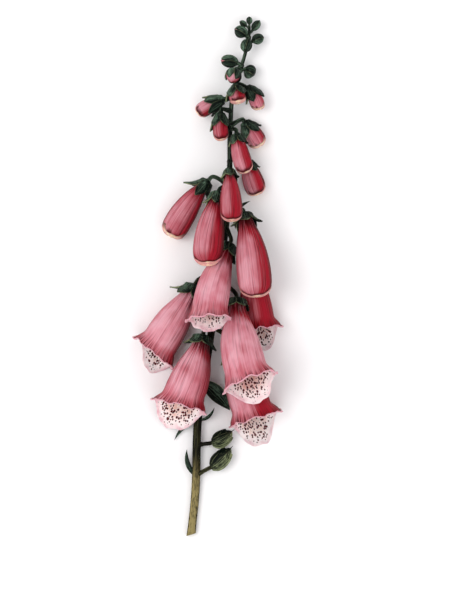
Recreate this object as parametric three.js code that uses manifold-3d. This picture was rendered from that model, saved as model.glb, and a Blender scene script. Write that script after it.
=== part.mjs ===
import * as THREE from 'three';
import Module from 'manifold-3d';

// A cut foxglove flower spike, lying on a level surface.
// Millimetres, +Z up. X runs across the spike, Y from the cut end to the tip.

const wasm = await Module();
wasm.setup();

// Driving dimensions

const SEAT_GAP = 0.3;
const PETAL_THICKNESS = 0.75;
const SEPAL_THICKNESS = 0.7;
const BRACT_THICKNESS = 0.7;
const SEPALS_PER_FLOWER = 5;
const PEDICEL_RADIUS = 0.95;
const CUP_DEPTH = 1.7;
const COROLLA_START = CUP_DEPTH + SEAT_GAP;
const COROLLA_SIDES = 16;
const CLOSED_SIDES = 15;
const BUD_SIDES = 10;
const STALK_SIDES = 10;

// Shapes along a flower, as pairs of share of the length and share of the greatest radius

const OPEN_PROFILE = [
	[ 0, 0.39 ], [ 0.12, 0.42 ], [ 0.28, 0.61 ], [ 0.5, 0.85 ], [ 0.72, 0.95 ], [ 0.88, 0.97 ], [ 1, 1.08 ],
];
const CLOSED_PROFILE = [
	[ 0, 0.4 ], [ 0.12, 0.48 ], [ 0.32, 0.75 ], [ 0.55, 0.95 ], [ 0.76, 1 ], [ 0.9, 0.94 ], [ 1, 0.8 ],
];
const YOUNG_PROFILE = [
	[ 0, 0.46 ], [ 0.15, 0.7 ], [ 0.35, 0.9 ], [ 0.6, 1 ], [ 0.8, 0.98 ], [ 0.9, 0.9 ], [ 1, 0.76 ],
];
const BUD_PROFILE = [ [ 0, 0.34 ], [ 0.14, 0.74 ], [ 0.4, 1 ], [ 0.66, 0.93 ], [ 0.86, 0.6 ], [ 1, 0 ] ];

// Lobes of an open mouth. Angle 0 is the middle of the upper lip and PI the middle of the lower lip.

const LIP_START = 0.55;
const UPPER_LIP_POWER = 1.6;
const TONGUE_ROUNDNESS = 3;
const SIDE_LOBE = { angle: Math.PI * 0.47, width: Math.PI * 0.145, reach: 1.8 };
const UPPER_LOBE = { angle: Math.PI * 0.155, width: Math.PI * 0.1, reach: 0.9 };
const LIP_FLARE = 1.4;
const CORNER_FLARE = 0.9;
const FLARE_START = 0.84;
const BELLY = 0.05;

// The stalk, from the cut end to the tip: centre and radius

const STALK = [
	{ at: [ - 7.5, - 119.6, 1.9 ], radius: 2.2 },
	{ at: [ - 6.9, - 114, 1.85 ], radius: 1.95 },
	{ at: [ - 5.8, - 104, 1.9 ], radius: 1.9 },
	{ at: [ - 5.1, - 92, 2.2 ], radius: 1.9 },
	{ at: [ - 4.9, - 80, 2.8 ], radius: 1.9 },
	{ at: [ - 4.4, - 68.5, 3.4 ], radius: 1.85 },
	{ at: [ - 3.1, - 57, 4 ], radius: 1.8 },
	{ at: [ - 0.6, - 42, 4.8 ], radius: 1.75 },
	{ at: [ 2, - 26, 5.6 ], radius: 1.7 },
	{ at: [ 4.2, - 10, 6.4 ], radius: 1.6 },
	{ at: [ 6.4, 6, 7.2 ], radius: 1.5 },
	{ at: [ 8.6, 21, 8 ], radius: 1.4 },
	{ at: [ 10, 36, 8.6 ], radius: 1.3 },
	{ at: [ 10.5, 51, 8.8 ], radius: 1.2 },
	{ at: [ 10.5, 64, 8.3 ], radius: 1.1 },
	{ at: [ 10.9, 74, 7.9 ], radius: 1.05 },
	{ at: [ 11.5, 82, 7.5 ], radius: 1 },
	{ at: [ 13, 89, 7 ], radius: 0.95 },
	{ at: [ 15.5, 96, 6.5 ], radius: 0.85 },
	{ at: [ 17.5, 102.5, 6.1 ], radius: 0.8 },
	{ at: [ 19.2, 110, 5.6 ], radius: 0.7 },
	{ at: [ 19.5, 115.5, 5.2 ], radius: 0.6 },
];
const CUT_SLANT = 0.4;

// Flowers from the cut end upward. Each follows a curve through base, middle and end.
// root is the height on the stalk where its flower stalk begins, and turned is how far
// its calyx is turned, as a share of one sepal. lip and hood are how far the lower and the
// upper lip reach, tongue is half the width of the lower lip and lean its turn to the left,
// both in radians, and flare is how wide the mouth spreads. broad widens a calyx's sepals.

const OPEN_BLOOMS = [
	{ base: [ - 1.8, - 26.7, 12.5 ], middle: [ - 6.5, - 43.5, 14.8 ], end: [ - 12.3, - 58, 15.6 ],
		radius: 9.8, lip: 12.6, tongue: 0.88, hood: 0, slant: 2.4, lean: - 0.12, flare: 1,
		root: - 20, reach: 4, sepal: 5.4, spread: 2.8 },
	{ base: [ 10.8, - 31, 6.8 ], middle: [ 15.8, - 47.5, 8.6 ], end: [ 21.8, - 64, 8.9 ],
		radius: 9.6, lip: 14.2, tongue: 0.78, hood: 0, slant: - 1, lean: 0.16, flare: 1,
		root: - 23, reach: 3, sepal: 8, spread: 1.4 },
	{ base: [ 13.6, - 10.5, 15 ], middle: [ 14.9, - 29.5, 24 ], end: [ 18.8, - 46, 31 ],
		radius: 10.2, lip: 8.6, tongue: 0.72, hood: 3.6, slant: 0.6, lean: - 0.08, flare: 0.9,
		root: - 2, reach: 4, sepal: 5.4, spread: 0.6 },
	{ base: [ - 5.5, - 3.7, 8.5 ], middle: [ - 14.5, - 19, 8.4 ], end: [ - 23.4, - 33.2, 8.2 ],
		radius: 9, lip: 10, tongue: 0.68, hood: 1.2, slant: - 1.2, lean: - 0.2, flare: 0.7,
		root: 2, reach: 4, sepal: 7, spread: 4.5 },
	{ base: [ 19.3, 9, 6.6 ], middle: [ 21.7, - 7.5, 6.9 ], end: [ 24.3, - 23, 7.1 ],
		radius: 7.6, lip: 10.8, tongue: 0.6, hood: 0, slant: 0, lean: - 0.1, flare: 1,
		root: 12, reach: 3, sepal: 7, spread: 1 },
	{ base: [ 10.5, 15, 12.5 ], middle: [ 4.2, - 1.5, 21.2 ], end: [ 1.1, - 17, 28.8 ],
		radius: 8.4, lip: 4.2, tongue: 0.74, hood: 4.6, slant: 1.6, lean: - 0.1, flare: 0.4,
		root: 22, reach: 3, sepal: 7.5, spread: 1 },
];

const CLOSED_BLOOMS = [
	{ base: [ 17, 29, 14 ], middle: [ 20.5, 10, 21.5 ], end: [ 22.5, - 10, 25 ],
		radius: 7.8, root: 30, reach: 3, sepal: 6.4, spread: 2.6 },
	{ base: [ 5.2, 38.5, 13 ], middle: [ 1.3, 20.5, 23 ], end: [ 0.2, 5.3, 30.5 ],
		radius: 6.9, root: 42, reach: 3, sepal: 8, spread: 0.8 },
	{ base: [ 0.8, 44.3, 9.8 ], middle: [ - 8.6, 32.3, 7 ], end: [ - 17.2, 18, 5.4 ],
		radius: 6.2, root: 41, reach: 4, sepal: 8, spread: 3.6 },
	{ base: [ 10.2, 49, 14.5 ], middle: [ 11, 37, 23.2 ], end: [ 11.4, 25, 28.6 ],
		radius: 5.1, root: 53, reach: 3, sepal: 6.2, spread: 0.6 },
];

const YOUNG_BUDS = [
	{ base: [ 18.3, 54, 6.5 ], middle: [ 20.5, 46, 5 ], end: [ 23.5, 37.3, 4.4 ],
		radius: 4.9, root: 57, reach: 3, sepal: 5.4, spread: 0 },
	{ base: [ 13.6, 66, 12.5 ], middle: [ 15.3, 56.5, 14.6 ], end: [ 18.2, 47.2, 15.8 ],
		radius: 4.3, root: 68, reach: 2, sepal: 5.8, spread: 0.2 },
	{ base: [ 16.9, 71.8, 6.2 ], middle: [ 20.8, 66, 4.6 ], end: [ 24.5, 59.7, 3.9 ],
		radius: 4.4, root: 69.5, reach: 1.3, sepal: 6.8, spread: 0.5, broad: 1.2 },
	{ base: [ 6.3, 75.8, 10.5 ], middle: [ 6.2, 69, 13 ], end: [ 6.8, 62.3, 15 ],
		radius: 3.5, root: 76, reach: 2, sepal: 8.4, spread: 0.5, broad: 1.5 },
	{ base: [ 17.4, 87.5, 7 ], middle: [ 21.7, 83, 6.5 ], end: [ 24.1, 76.6, 6 ],
		radius: 3.3, root: 89, reach: 2, sepal: 8, spread: 0.4, turned: 0.25, broad: 1.4 },
	{ base: [ 13.3, 88, 10.5 ], middle: [ 13.7, 84, 13.5 ], end: [ 14.4, 79.5, 15.5 ],
		radius: 3.9, root: 90, reach: 2, sepal: 7.8, spread: 0.6, broad: 1.5 },
	{ base: [ 8.5, 81.8, 7.8 ], middle: [ 2.3, 79.3, 7.4 ], end: [ - 4.8, 75, 6.8 ],
		radius: 3.6, root: 81.5, reach: 1, sepal: 9.4, spread: 0.4, broad: 1.5 },
];

const TIP_BUDS = [
	{ base: [ 12.9, 94.8, 10.6 ], middle: [ 12, 92, 13.1 ], end: [ 11.2, 88.9, 14.8 ],
		radius: 3.7, root: 96, reach: 1.5 },
	{ base: [ 17.4, 95.3, 6 ], middle: [ 19.6, 94.4, 5.2 ], end: [ 22, 92.8, 4.5 ],
		radius: 3.2, root: 94.5, reach: 1 },
	{ base: [ 14.2, 98.1, 7.8 ], middle: [ 10.3, 99.2, 7.4 ], end: [ 6, 99.4, 7.7 ],
		radius: 2.9, root: 97, reach: 1 },
	{ base: [ 18.8, 109, 8.4 ], middle: [ 18, 106, 9.8 ], end: [ 17, 103.2, 10.6 ],
		radius: 2.6, root: 109.5, reach: 1 },
	{ base: [ 20.9, 108.4, 5.5 ], middle: [ 23.6, 109.6, 5 ], end: [ 26.4, 110.3, 4.5 ],
		radius: 2.4, root: 107, reach: 1 },
	{ base: [ 18, 111, 6.6 ], middle: [ 15.5, 112.8, 7.1 ], end: [ 12.6, 114.1, 7.6 ],
		radius: 2.8, root: 110, reach: 1 },
	{ base: [ 21, 113.6, 5.2 ], middle: [ 22.8, 116, 5 ], end: [ 24.4, 118.2, 4.8 ],
		radius: 1.8, root: 112, reach: 1 },
	{ base: [ 18.2, 115.4, 5.8 ], middle: [ 16.6, 116.7, 6.2 ], end: [ 15, 117.7, 6.6 ],
		radius: 1.35, root: 114, reach: 0.6 },
	{ base: [ 19.5, 116.4, 5 ], middle: [ 19.5, 118.2, 4.8 ], end: [ 19.4, 120, 4.6 ],
		radius: 1.4, root: 115, reach: 0.6 },
];

const SEED_PODS = [
	{ base: [ 2.4, - 77, 4.3 ], middle: [ 6.7, - 75.2, 4.6 ], end: [ 11.6, - 71.6, 4 ],
		radius: 3.7, root: - 78, reach: 2 },
	{ base: [ 1.8, - 88.3, 4 ], middle: [ 5.8, - 85.2, 4 ], end: [ 11, - 79.4, 4.4 ],
		radius: 3.8, root: - 92, reach: 2 },
];

// Bracts grow from the stalk. face is the way that their upper side looks.

const BRACTS = [
	{ root: [ - 4.4, - 67, 3.2 ], middle: [ - 10.5, - 69.6, 2.4 ], tip: [ - 15.2, - 76, 1.2 ],
		width: 2, face: [ 0, 0, 1 ] },
	{ root: [ - 4, - 66.6, 3.8 ], middle: [ 0.6, - 65, 5 ], tip: [ 3.4, - 60.6, 6 ],
		width: 1.6, face: [ 0, 0, 1 ] },
	{ root: [ - 5, - 92.5, 2.4 ], middle: [ - 8.8, - 87, 3.4 ], tip: [ - 9.3, - 80, 3.8 ],
		width: 2.4, face: [ 0, 0, 1 ] },
	{ root: [ - 1.8, - 49.5, 4.6 ], middle: [ 4.6, - 54.6, 5 ], tip: [ 10.4, - 62, 1.6 ],
		width: 7.4, face: [ 0.2, 0, 1 ] },
	{ root: [ 9.8, 27, 8.4 ], middle: [ 14.5, 31.6, 9.6 ], tip: [ 20, 34.6, 11.5 ],
		width: 1.8, face: [ 0, 0, 1 ] },
	{ root: [ 9, 26.5, 8.2 ], middle: [ 12, 26, 11 ], tip: [ 13, 21.5, 12 ],
		width: 2.2, face: [ 1, 0, 1 ] },
];

// Colours and finishes

const finish = ( color, roughness ) => new THREE.MeshStandardMaterial( { color, roughness, metalness: 0 } );
const STEM_GREEN = finish( 0x4b5a33, 0.7 );
const CALYX_GREEN = finish( 0x2f4a35, 0.65 );
const BUD_GREEN = finish( 0x33503a, 0.6 );
const POD_GREEN = finish( 0x4d6038, 0.6 );
const OPEN_ROSE = finish( 0xcf6f83, 0.55 );
const CLOSED_ROSE = finish( 0xc2506a, 0.5 );
const POLLEN_YELLOW = finish( 0xd9b25a, 0.8 );
const STYLE_GREEN = finish( 0xb9bd86, 0.6 );

// Small helpers

const { clamp, smoothstep, lerp } = THREE.MathUtils;
const vector = ( [ x, y, z ] ) => new THREE.Vector3( x, y, z );

// How far a lobe of the mouth stands out at an angle

function bump( angle, lobe ) {

	const away = ( Math.abs( angle ) - lobe.angle ) / lobe.width;
	return lobe.reach * Math.exp( - away * away );

}

// A curve that passes through a place half way between its ends

function curveThrough( start, middle, stop ) {

	const handle = vector( middle ).multiplyScalar( 2 );
	handle.addScaledVector( vector( start ), - 0.5 ).addScaledVector( vector( stop ), - 0.5 );
	return new THREE.QuadraticBezierCurve3( vector( start ), handle, vector( stop ) );

}

// A smooth value through pairs of position and value

function through( pairs, position ) {

	const last = pairs.length - 1;
	let k = 0;
	while ( k < last - 1 && position > pairs[ k + 1 ][ 0 ] ) k ++;
	const [ x0, y0 ] = pairs[ k ];
	const [ x1, y1 ] = pairs[ k + 1 ];
	const slope = ( i ) => {

		const [ xa, ya ] = pairs[ Math.max( i - 1, 0 ) ];
		const [ xb, yb ] = pairs[ Math.min( i + 1, last ) ];
		return ( yb - ya ) / ( xb - xa );

	};

	const span = x1 - x0;
	const t = clamp( ( position - x0 ) / span, 0, 1 );
	const rise = ( 3 - 2 * t ) * t * t;
	const bend = slope( k ) * ( 1 - t ) - slope( k + 1 ) * t;
	return lerp( y0, y1, rise ) + span * t * ( 1 - t ) * bend;

}

// The curved middle line of a flower, with a place at a distance along it, a radius and an angle round it

class Spine {

	constructor( flower ) {

		this.curve = curveThrough( flower.base, flower.middle, flower.end );
		this.length = this.curve.getLength();

	}

	at( distance, radius, angle, floor = 0 ) {

		const share = clamp( distance / this.length, 0, 1 );
		const along = this.curve.getTangentAt( share );
		const point = this.curve.getPointAt( share ).addScaledVector( along, distance - share * this.length );
		const up = new THREE.Vector3( 0, 0, 1 ).addScaledVector( along, - along.z ).normalize();
		const side = new THREE.Vector3().crossVectors( along, up );
		point.addScaledVector( up, radius * Math.cos( angle ) );
		point.addScaledVector( side, radius * Math.sin( angle ) );
		point.z = Math.max( point.z, floor );
		return point;

	}

}

// A closed body over faces that name points: equal points become one, empty faces go,
// and the faces are turned to point outward

function body( faces ) {

	const places = new Map();
	const positions = [];
	const indices = [];
	const number = ( point ) => {

		const key = point.toArray().map( ( value ) => Math.round( value * 1e4 ) ).join();
		if ( ! places.has( key ) ) {

			places.set( key, positions.length / 3 );
			positions.push( ...point.toArray() );

		}

		return places.get( key );

	};

	let volume = 0;
	for ( const face of faces ) {

		const [ a, b, c ] = face.map( number );
		if ( a === b || b === c || c === a ) continue;
		indices.push( a, b, c );
		volume += face[ 0 ].dot( new THREE.Vector3().crossVectors( face[ 1 ], face[ 2 ] ) );

	}

	if ( volume < 0 ) indices.reverse();
	const geometry = new THREE.BufferGeometry();
	geometry.setAttribute( 'position', new THREE.Float32BufferAttribute( positions, 3 ) );
	geometry.setIndex( indices );
	return geometry;

}

// The faces between two rows of points. mirrored says which squares are split the other way.

function band( low, high, closed = true, mirrored = () => false ) {

	const faces = [];
	const columns = closed ? low.length : low.length - 1;
	for ( let j = 0; j < columns; j ++ ) {

		const k = ( j + 1 ) % low.length;
		if ( mirrored( j ) ) faces.push( [ low[ j ], low[ k ], high[ j ] ], [ low[ k ], high[ k ], high[ j ] ] );
		else faces.push( [ low[ j ], low[ k ], high[ k ] ], [ low[ j ], high[ k ], high[ j ] ] );

	}

	return faces;

}

const reversed = ( faces ) => faces.map( ( [ a, b, c ] ) => [ a, c, b ] );

// Bands over a list of rings, from the first to the last

function bands( rings, mirrored ) {

	const faces = [];
	for ( let i = 0; i + 1 < rings.length; i ++ ) {

		faces.push( ...band( rings[ i ], rings[ i + 1 ], true, mirrored ) );

	}

	return faces;

}

// A disc of faces that closes a round ring

const disc = ( ring ) => ring.slice( 2 ).map( ( point, j ) => [ ring[ 0 ], point, ring[ j + 1 ] ] );

// A full body over rings, with flat ends; a ring whose points are all alike is a point

function filled( rings ) {

	return body( [ ...bands( rings ), ...disc( rings[ 0 ] ), ...reversed( disc( rings.at( - 1 ) ) ) ] );

}

// A cup or tube with a wall: both faces are split alike

function walled( outer, inner ) {

	const foot = band( inner[ 0 ], outer[ 0 ] );
	const rim = band( outer.at( - 1 ), inner.at( - 1 ) );
	return body( [ ...foot, ...bands( outer ), ...rim, ...reversed( bands( inner ) ) ] );

}

// A thin blade: each row holds the points across its upper and its lower face

function blade( upper, lower ) {

	const rings = upper.map( ( row, i ) => [ ...row, ...[ ...lower[ i ] ].reverse() ] );
	const across = upper[ 0 ].length;
	const mirrored = ( j ) => j >= across;
	const root = reversed( band( upper[ 0 ], lower[ 0 ], false ) );
	const tip = band( upper.at( - 1 ), lower.at( - 1 ), false );
	return body( [ ...bands( rings, mirrored ), ...root, ...tip ] );

}

// A ring of points round a line, turned from one place to the next without twisting

function tube( points, radii, sides ) {

	const rings = [];
	let across = new THREE.Vector3( 1, 0, 0 );
	points.forEach( ( point, i ) => {

		const before = points[ Math.max( i - 1, 0 ) ];
		const after = points[ Math.min( i + 1, points.length - 1 ) ];
		const along = new THREE.Vector3().subVectors( after, before ).normalize();
		if ( Math.abs( along.dot( across ) ) > 0.95 ) across = new THREE.Vector3( 0, 0, 1 );
		across = across.clone().addScaledVector( along, - across.dot( along ) ).normalize();
		const other = new THREE.Vector3().crossVectors( along, across );
		const ring = [];
		for ( let j = 0; j < sides; j ++ ) {

			const angle = ( j / sides ) * 2 * Math.PI;
			const place = point.clone().addScaledVector( across, radii[ i ] * Math.cos( angle ) );
			place.addScaledVector( other, radii[ i ] * Math.sin( angle ) );
			place.z = Math.max( place.z, 0 );
			ring.push( place );

		}

		rings.push( ring );

	} );
	return rings;

}

// Joining by solid modelling

function fuse( geometries ) {

	const solids = geometries.map( ( geometry ) => new wasm.Manifold( new wasm.Mesh( {
		numProp: 3,
		vertProperties: new Float32Array( geometry.getAttribute( 'position' ).array ),
		triVerts: new Uint32Array( geometry.getIndex().array ),
	} ) ) );
	const whole = solids.reduce( ( sum, solid ) => sum.add( solid ) ).getMesh();
	const geometry = new THREE.BufferGeometry();
	geometry.setAttribute( 'position', new THREE.Float32BufferAttribute( whole.vertProperties, 3 ) );
	geometry.setIndex( [ ...whole.triVerts ] );
	return geometry;

}

const group = new THREE.Group();

function add( name, geometry, material ) {

	const mesh = new THREE.Mesh( geometry, material );
	mesh.name = name;
	group.add( mesh );

}

const turnsOf = ( sides ) => Array.from( { length: sides }, ( _, j ) => ( j / sides ) * 2 * Math.PI );

// Calyx: a small cup whose rim runs out into five pointed sepals round the foot of the corolla

const SEPAL_OUTLINE = [ [ 0, 0.9 ], [ 0.4, 1 ], [ 0.75, 0.66 ], [ 1, 0 ] ];
const SEPAL_CLEARANCE = 0.5;
const SEPAL_CURL = 1.6;
const SEPAL_SECTOR = Math.PI / SEPALS_PER_FLOWER;
const SEPAL_SHARE_OF_SECTOR = 0.94;
const NOTCH_HEIGHT = 0.6;

// The middle line of a sepal as distance along the flower and radius, inside and outside

function sepalLine( flower, radiusAt ) {

	const inside = SEPAL_OUTLINE.map( ( [ share ] ) => {

		const distance = lerp( CUP_DEPTH + NOTCH_HEIGHT, flower.sepal, share );
		const radius = radiusAt( distance ) + SEPAL_CLEARANCE + flower.spread * share ** SEPAL_CURL;
		return new THREE.Vector2( distance, radius );

	} );
	const outside = inside.map( ( place, i ) => {

		const before = inside[ Math.max( i - 1, 0 ) ];
		const after = inside[ Math.min( i + 1, inside.length - 1 ) ];
		const normal = new THREE.Vector2( before.y - after.y, after.x - before.x ).setLength( SEPAL_THICKNESS );
		return place.clone().add( normal );

	} );
	return { inside, outside };

}

function calyx( spine, flower, radiusAt ) {

	const foot = radiusAt( COROLLA_START );
	const width = ( foot + 1.4 ) * 0.66 * flower.broad;
	const { inside, outside } = sepalLine( flower, radiusAt );
	const start = ( 2 * flower.turned - 1 ) * SEPAL_SECTOR;
	const angles = turnsOf( 2 * SEPALS_PER_FLOWER ).map( ( angle ) => angle + start );
	const ring = ( distance, radius ) => angles.map( ( angle ) => spine.at( distance, radius, angle ) );
	const cup = [
		ring( 0, PEDICEL_RADIUS ),
		ring( 0.5, foot * 0.7 ),
		ring( 1.1, foot + 0.6 ),
		ring( outside[ 0 ].x, outside[ 0 ].y ),
	];
	const floor = [ ring( inside[ 0 ].x, inside[ 0 ].y ), ring( CUP_DEPTH, foot + 0.45 ) ];
	const faces = [ ...disc( cup[ 0 ] ), ...bands( cup ), ...bands( floor ) ];
	faces.push( ...reversed( disc( floor[ 1 ] ) ) );
	for ( let k = 0; k < SEPALS_PER_FLOWER; k ++ ) {

		const middle = angles[ 2 * k + 1 ];
		const rows = ( line, shell, lowest ) => line.map( ( place, i ) => {

			if ( i === 0 ) return [ 0, 1, 2 ].map( ( step ) => shell[ ( 2 * k + step ) % angles.length ] );
			const wanted = ( width * SEPAL_OUTLINE[ i ][ 1 ] ) / place.y;
			const half = Math.min( wanted, SEPAL_SECTOR * SEPAL_SHARE_OF_SECTOR );
			return [ - half, 0, half ].map( ( turn ) => spine.at( place.x, place.y, middle + turn, lowest ) );

		} );
		const upper = rows( outside, cup.at( - 1 ), 0 );
		const lower = rows( inside, floor[ 0 ], SEPAL_THICKNESS );
		for ( let i = 0; i + 1 < upper.length; i ++ ) {

			const [ near, far ] = [ upper[ i ], upper[ i + 1 ] ];
			const [ nearInside, farInside ] = [ lower[ i ], lower[ i + 1 ] ];
			faces.push( ...band( near, far, false ) );
			faces.push( ...reversed( band( nearInside, farInside, false ) ) );
			faces.push( ...band( [ nearInside[ 0 ], near[ 0 ] ], [ farInside[ 0 ], far[ 0 ] ], false ) );
			faces.push( ...band( [ near[ 2 ], nearInside[ 2 ] ], [ far[ 2 ], farInside[ 2 ] ], false ) );

		}

		faces.push( ...band( upper.at( - 1 ), lower.at( - 1 ), false ) );

	}

	return body( faces );

}

// Open corolla: a bell with a long spotted lower lip, thin walled and open at both ends

const OPEN_RINGS = [ 0, 0.1, 0.26, 0.46, 0.68, 0.84, 0.94, 1 ];

function openRadius( flower, spine, distance ) {

	const share = clamp( ( distance - COROLLA_START ) / ( spine.length - COROLLA_START ), 0, 1 );
	return flower.radius * through( OPEN_PROFILE, share ) * ( 1 + BELLY * Math.sin( Math.PI * share ) );

}

function openCorolla( spine, flower ) {

	const surface = ( share, angle, inset ) => {

		const lean = angle > Math.PI ? angle - 2 * Math.PI : angle;
		const below = ( 1 - Math.cos( lean ) ) / 2;
		const lobes = bump( lean, SIDE_LOBE ) + bump( lean, UPPER_LOBE ) + flower.slant * Math.sin( angle );
		const away = Math.abs( angle + flower.lean - Math.PI ) / flower.tongue;
		const tongue = Math.exp( - ( away ** TONGUE_ROUNDNESS ) );
		const lips = flower.lip * tongue + flower.hood * ( 1 - below ) ** UPPER_LIP_POWER;
		const reach = lips + lobes;
		const drawn = smoothstep( share, LIP_START, 1 );
		const distance = lerp( COROLLA_START, spine.length, share ) + reach * drawn;
		const belly = 1 - BELLY * Math.sin( Math.PI * share ) * Math.cos( lean );
		const flare = flower.flare * ( LIP_FLARE * below + CORNER_FLARE * Math.sin( angle ) ** 4 );
		const tube = flower.radius * through( OPEN_PROFILE, share ) * belly;
		const radius = tube + flare * smoothstep( share, FLARE_START, 1 );
		return spine.at( distance, radius - inset, angle, inset );

	};

	const angles = turnsOf( COROLLA_SIDES );
	const ring = ( share, inset ) => angles.map( ( angle ) => surface( share, angle, inset ) );
	const skin = ( inset ) => OPEN_RINGS.map( ( share ) => ring( share, inset ) );
	return walled( skin( 0 ), skin( PETAL_THICKNESS ) );

}

// Stamens: four filaments from one ring, each with a pair of pollen sacs under the upper lip

const STAMENS = [
	{ turn: 0.75, share: 0.66 },
	{ turn: - 0.75, share: 0.66 },
	{ turn: 1.35, share: 0.52 },
	{ turn: - 1.35, share: 0.52 },
];
const STAMEN_HOLD = 0.52;
const FILAMENT_RADIUS = 0.4;
const ANTHER_RADIUS = 0.95;
const STAMEN_RING_GAP = 0.6;
const STAMEN_RING_WALL = 0.6;

function stamens( spine, flower ) {

	const throat = openRadius( flower, spine, COROLLA_START ) - PETAL_THICKNESS;
	const outer = throat - STAMEN_RING_GAP;
	const inner = outer - STAMEN_RING_WALL;
	const angles = turnsOf( 8 );
	const ring = ( distance, radius ) => angles.map( ( angle ) => spine.at( distance, radius, angle ) );
	const low = COROLLA_START;
	const high = COROLLA_START + 0.9;
	const outside = [ ring( low, outer ), ring( high, outer ) ];
	const inside = [ ring( low, inner ), ring( high, inner ) ];
	const pieces = [ walled( outside, inside ) ];
	for ( const stamen of STAMENS ) {

		const place = ( share ) => {

			const distance = lerp( COROLLA_START + 0.4, spine.length, share );
			const held = openRadius( flower, spine, distance ) * STAMEN_HOLD;
			const hold = share === 0 ? ( outer + inner ) / 2 : held;
			return spine.at( distance, hold, stamen.turn * ( 1 - 0.55 * share ) );

		};

		const shares = [ 0, stamen.share * 0.5, stamen.share - 0.06, stamen.share, stamen.share + 0.05 ];
		const radii = [ FILAMENT_RADIUS, FILAMENT_RADIUS, FILAMENT_RADIUS, ANTHER_RADIUS, FILAMENT_RADIUS ];
		pieces.push( filled( tube( shares.map( place ), radii, 3 ) ) );

	}

	return fuse( pieces );

}

// Pistil: a pointed ovary with a thin style under the upper lip

const PISTIL_LINE = [
	{ share: 0, radius: 0.6, lift: 0 },
	{ share: 0.08, radius: 0.75, lift: 0 },
	{ share: 0.14, radius: 0.55, lift: 0.05 },
	{ share: 0.22, radius: 0.36, lift: 0.14 },
	{ share: 0.5, radius: 0.34, lift: 0.3 },
	{ share: 0.78, radius: 0.34, lift: 0.42 },
	{ share: 0.82, radius: 0.5, lift: 0.44 },
	{ share: 0.84, radius: 0.25, lift: 0.44 },
];

function pistil( spine, flower ) {

	const marks = PISTIL_LINE.map( ( { share, lift } ) => {

		const distance = lerp( COROLLA_START, spine.length, share );
		return spine.at( distance, openRadius( flower, spine, distance ) * lift, 0 );

	} );
	return filled( tube( marks, PISTIL_LINE.map( ( { radius } ) => radius ), 5 ) );

}

// Closed corolla: a full body whose upper lip is folded over the pale lower lip

const HOOD_EDGE = 0.9;
const HOOD_DROP = 0.07;
const HOOD_SCALLOP = 0.014;
const LIP_STEP = 0.84;

function closedRadius( flower, spine, profile, distance ) {

	const share = clamp( ( distance - COROLLA_START ) / ( spine.length - COROLLA_START ), 0, 1 );
	return flower.radius * through( profile, share );

}

function closedCorolla( spine, flower, profile, shares ) {

	const angles = turnsOf( CLOSED_SIDES );
	const ring = ( shareAt, radiusAt ) => angles.map( ( angle ) => {

		const drop = ( HOOD_DROP * ( 1 - Math.cos( angle ) ) ) / 2;
		const hood = HOOD_EDGE + drop + HOOD_SCALLOP * Math.cos( 5 * angle );
		const share = shareAt( hood );
		const radius = flower.radius * through( profile, Math.min( share, hood ) ) * radiusAt;
		return spine.at( lerp( COROLLA_START, spine.length, share ), radius, angle );

	} );

	const rings = shares.map( ( part ) => ring( ( hood ) => part * hood, 1 ) );
	rings.push( ring( ( hood ) => hood, LIP_STEP ) );
	rings.push( ring( ( hood ) => lerp( hood, 1, 0.55 ), LIP_STEP * 0.8 ) );
	rings.push( ring( ( hood ) => lerp( hood, 1, 0.9 ), LIP_STEP * 0.45 ) );
	rings.push( ring( () => 1, 0 ) );
	return filled( rings );

}

// Tip bud: five sepals folded over each other, still shut

const BUD_RIDGE = 0.07;

function tipBud( spine, flower ) {

	const angles = turnsOf( BUD_SIDES );
	const rings = BUD_PROFILE.map( ( [ share ] ) => angles.map( ( angle ) => {

		const ridge = 1 + BUD_RIDGE * Math.cos( SEPALS_PER_FLOWER * angle );
		return spine.at( spine.length * share, flower.radius * through( BUD_PROFILE, share ) * ridge, angle );

	} ) );
	return filled( rings );

}

// Seed pod: a pointed capsule with the sepals that stayed behind pressed to it

const POD_PROFILE = [ [ 0, 0.4 ], [ 0.16, 0.84 ], [ 0.42, 1 ], [ 0.7, 0.82 ], [ 0.9, 0.42 ], [ 1, 0 ] ];
const POD_RIDGE = 0.1;
const POD_SEPAL_REACH = 0.06;

function seedPod( spine, flower ) {

	const angles = turnsOf( 4 * SEPALS_PER_FLOWER );
	const rings = POD_PROFILE.map( ( [ share ], i ) => angles.map( ( angle ) => {

		const crest = Math.cos( SEPALS_PER_FLOWER * angle );
		const distance = spine.length * ( share + POD_SEPAL_REACH * crest * Math.sin( Math.PI * share ) );
		const radius = flower.radius * through( POD_PROFILE, share ) * ( 1 + POD_RIDGE * crest );
		return spine.at( distance, radius, angle );

	} ) );
	return filled( rings );

}

// Stem: the stalk with every flower stalk and bract grown onto it

const stalkCurve = new THREE.CatmullRomCurve3( STALK.map( ( { at } ) => vector( at ) ) );

function stalkAt( height ) {

	let low = 0;
	let high = 1;
	for ( let step = 0; step < 30; step ++ ) {

		const middle = ( low + high ) / 2;
		if ( stalkCurve.getPoint( middle ).y < height ) low = middle;
		else high = middle;

	}

	return stalkCurve.getPoint( low );

}

const stemPieces = [];

function growStalk() {

	const centres = STALK.map( ( { at } ) => vector( at ) );
	const rings = tube( centres, STALK.map( ( { radius } ) => radius ), STALK_SIDES );
	for ( const point of rings[ 0 ] ) point.y += CUT_SLANT * ( point.x - centres[ 0 ].x );
	stemPieces.push( filled( rings ) );

}

const PEDICEL_STEPS = 3;
const PEDICEL_STRAIGHT = 0.3;
const PEDICEL_SIDES = 5;

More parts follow.
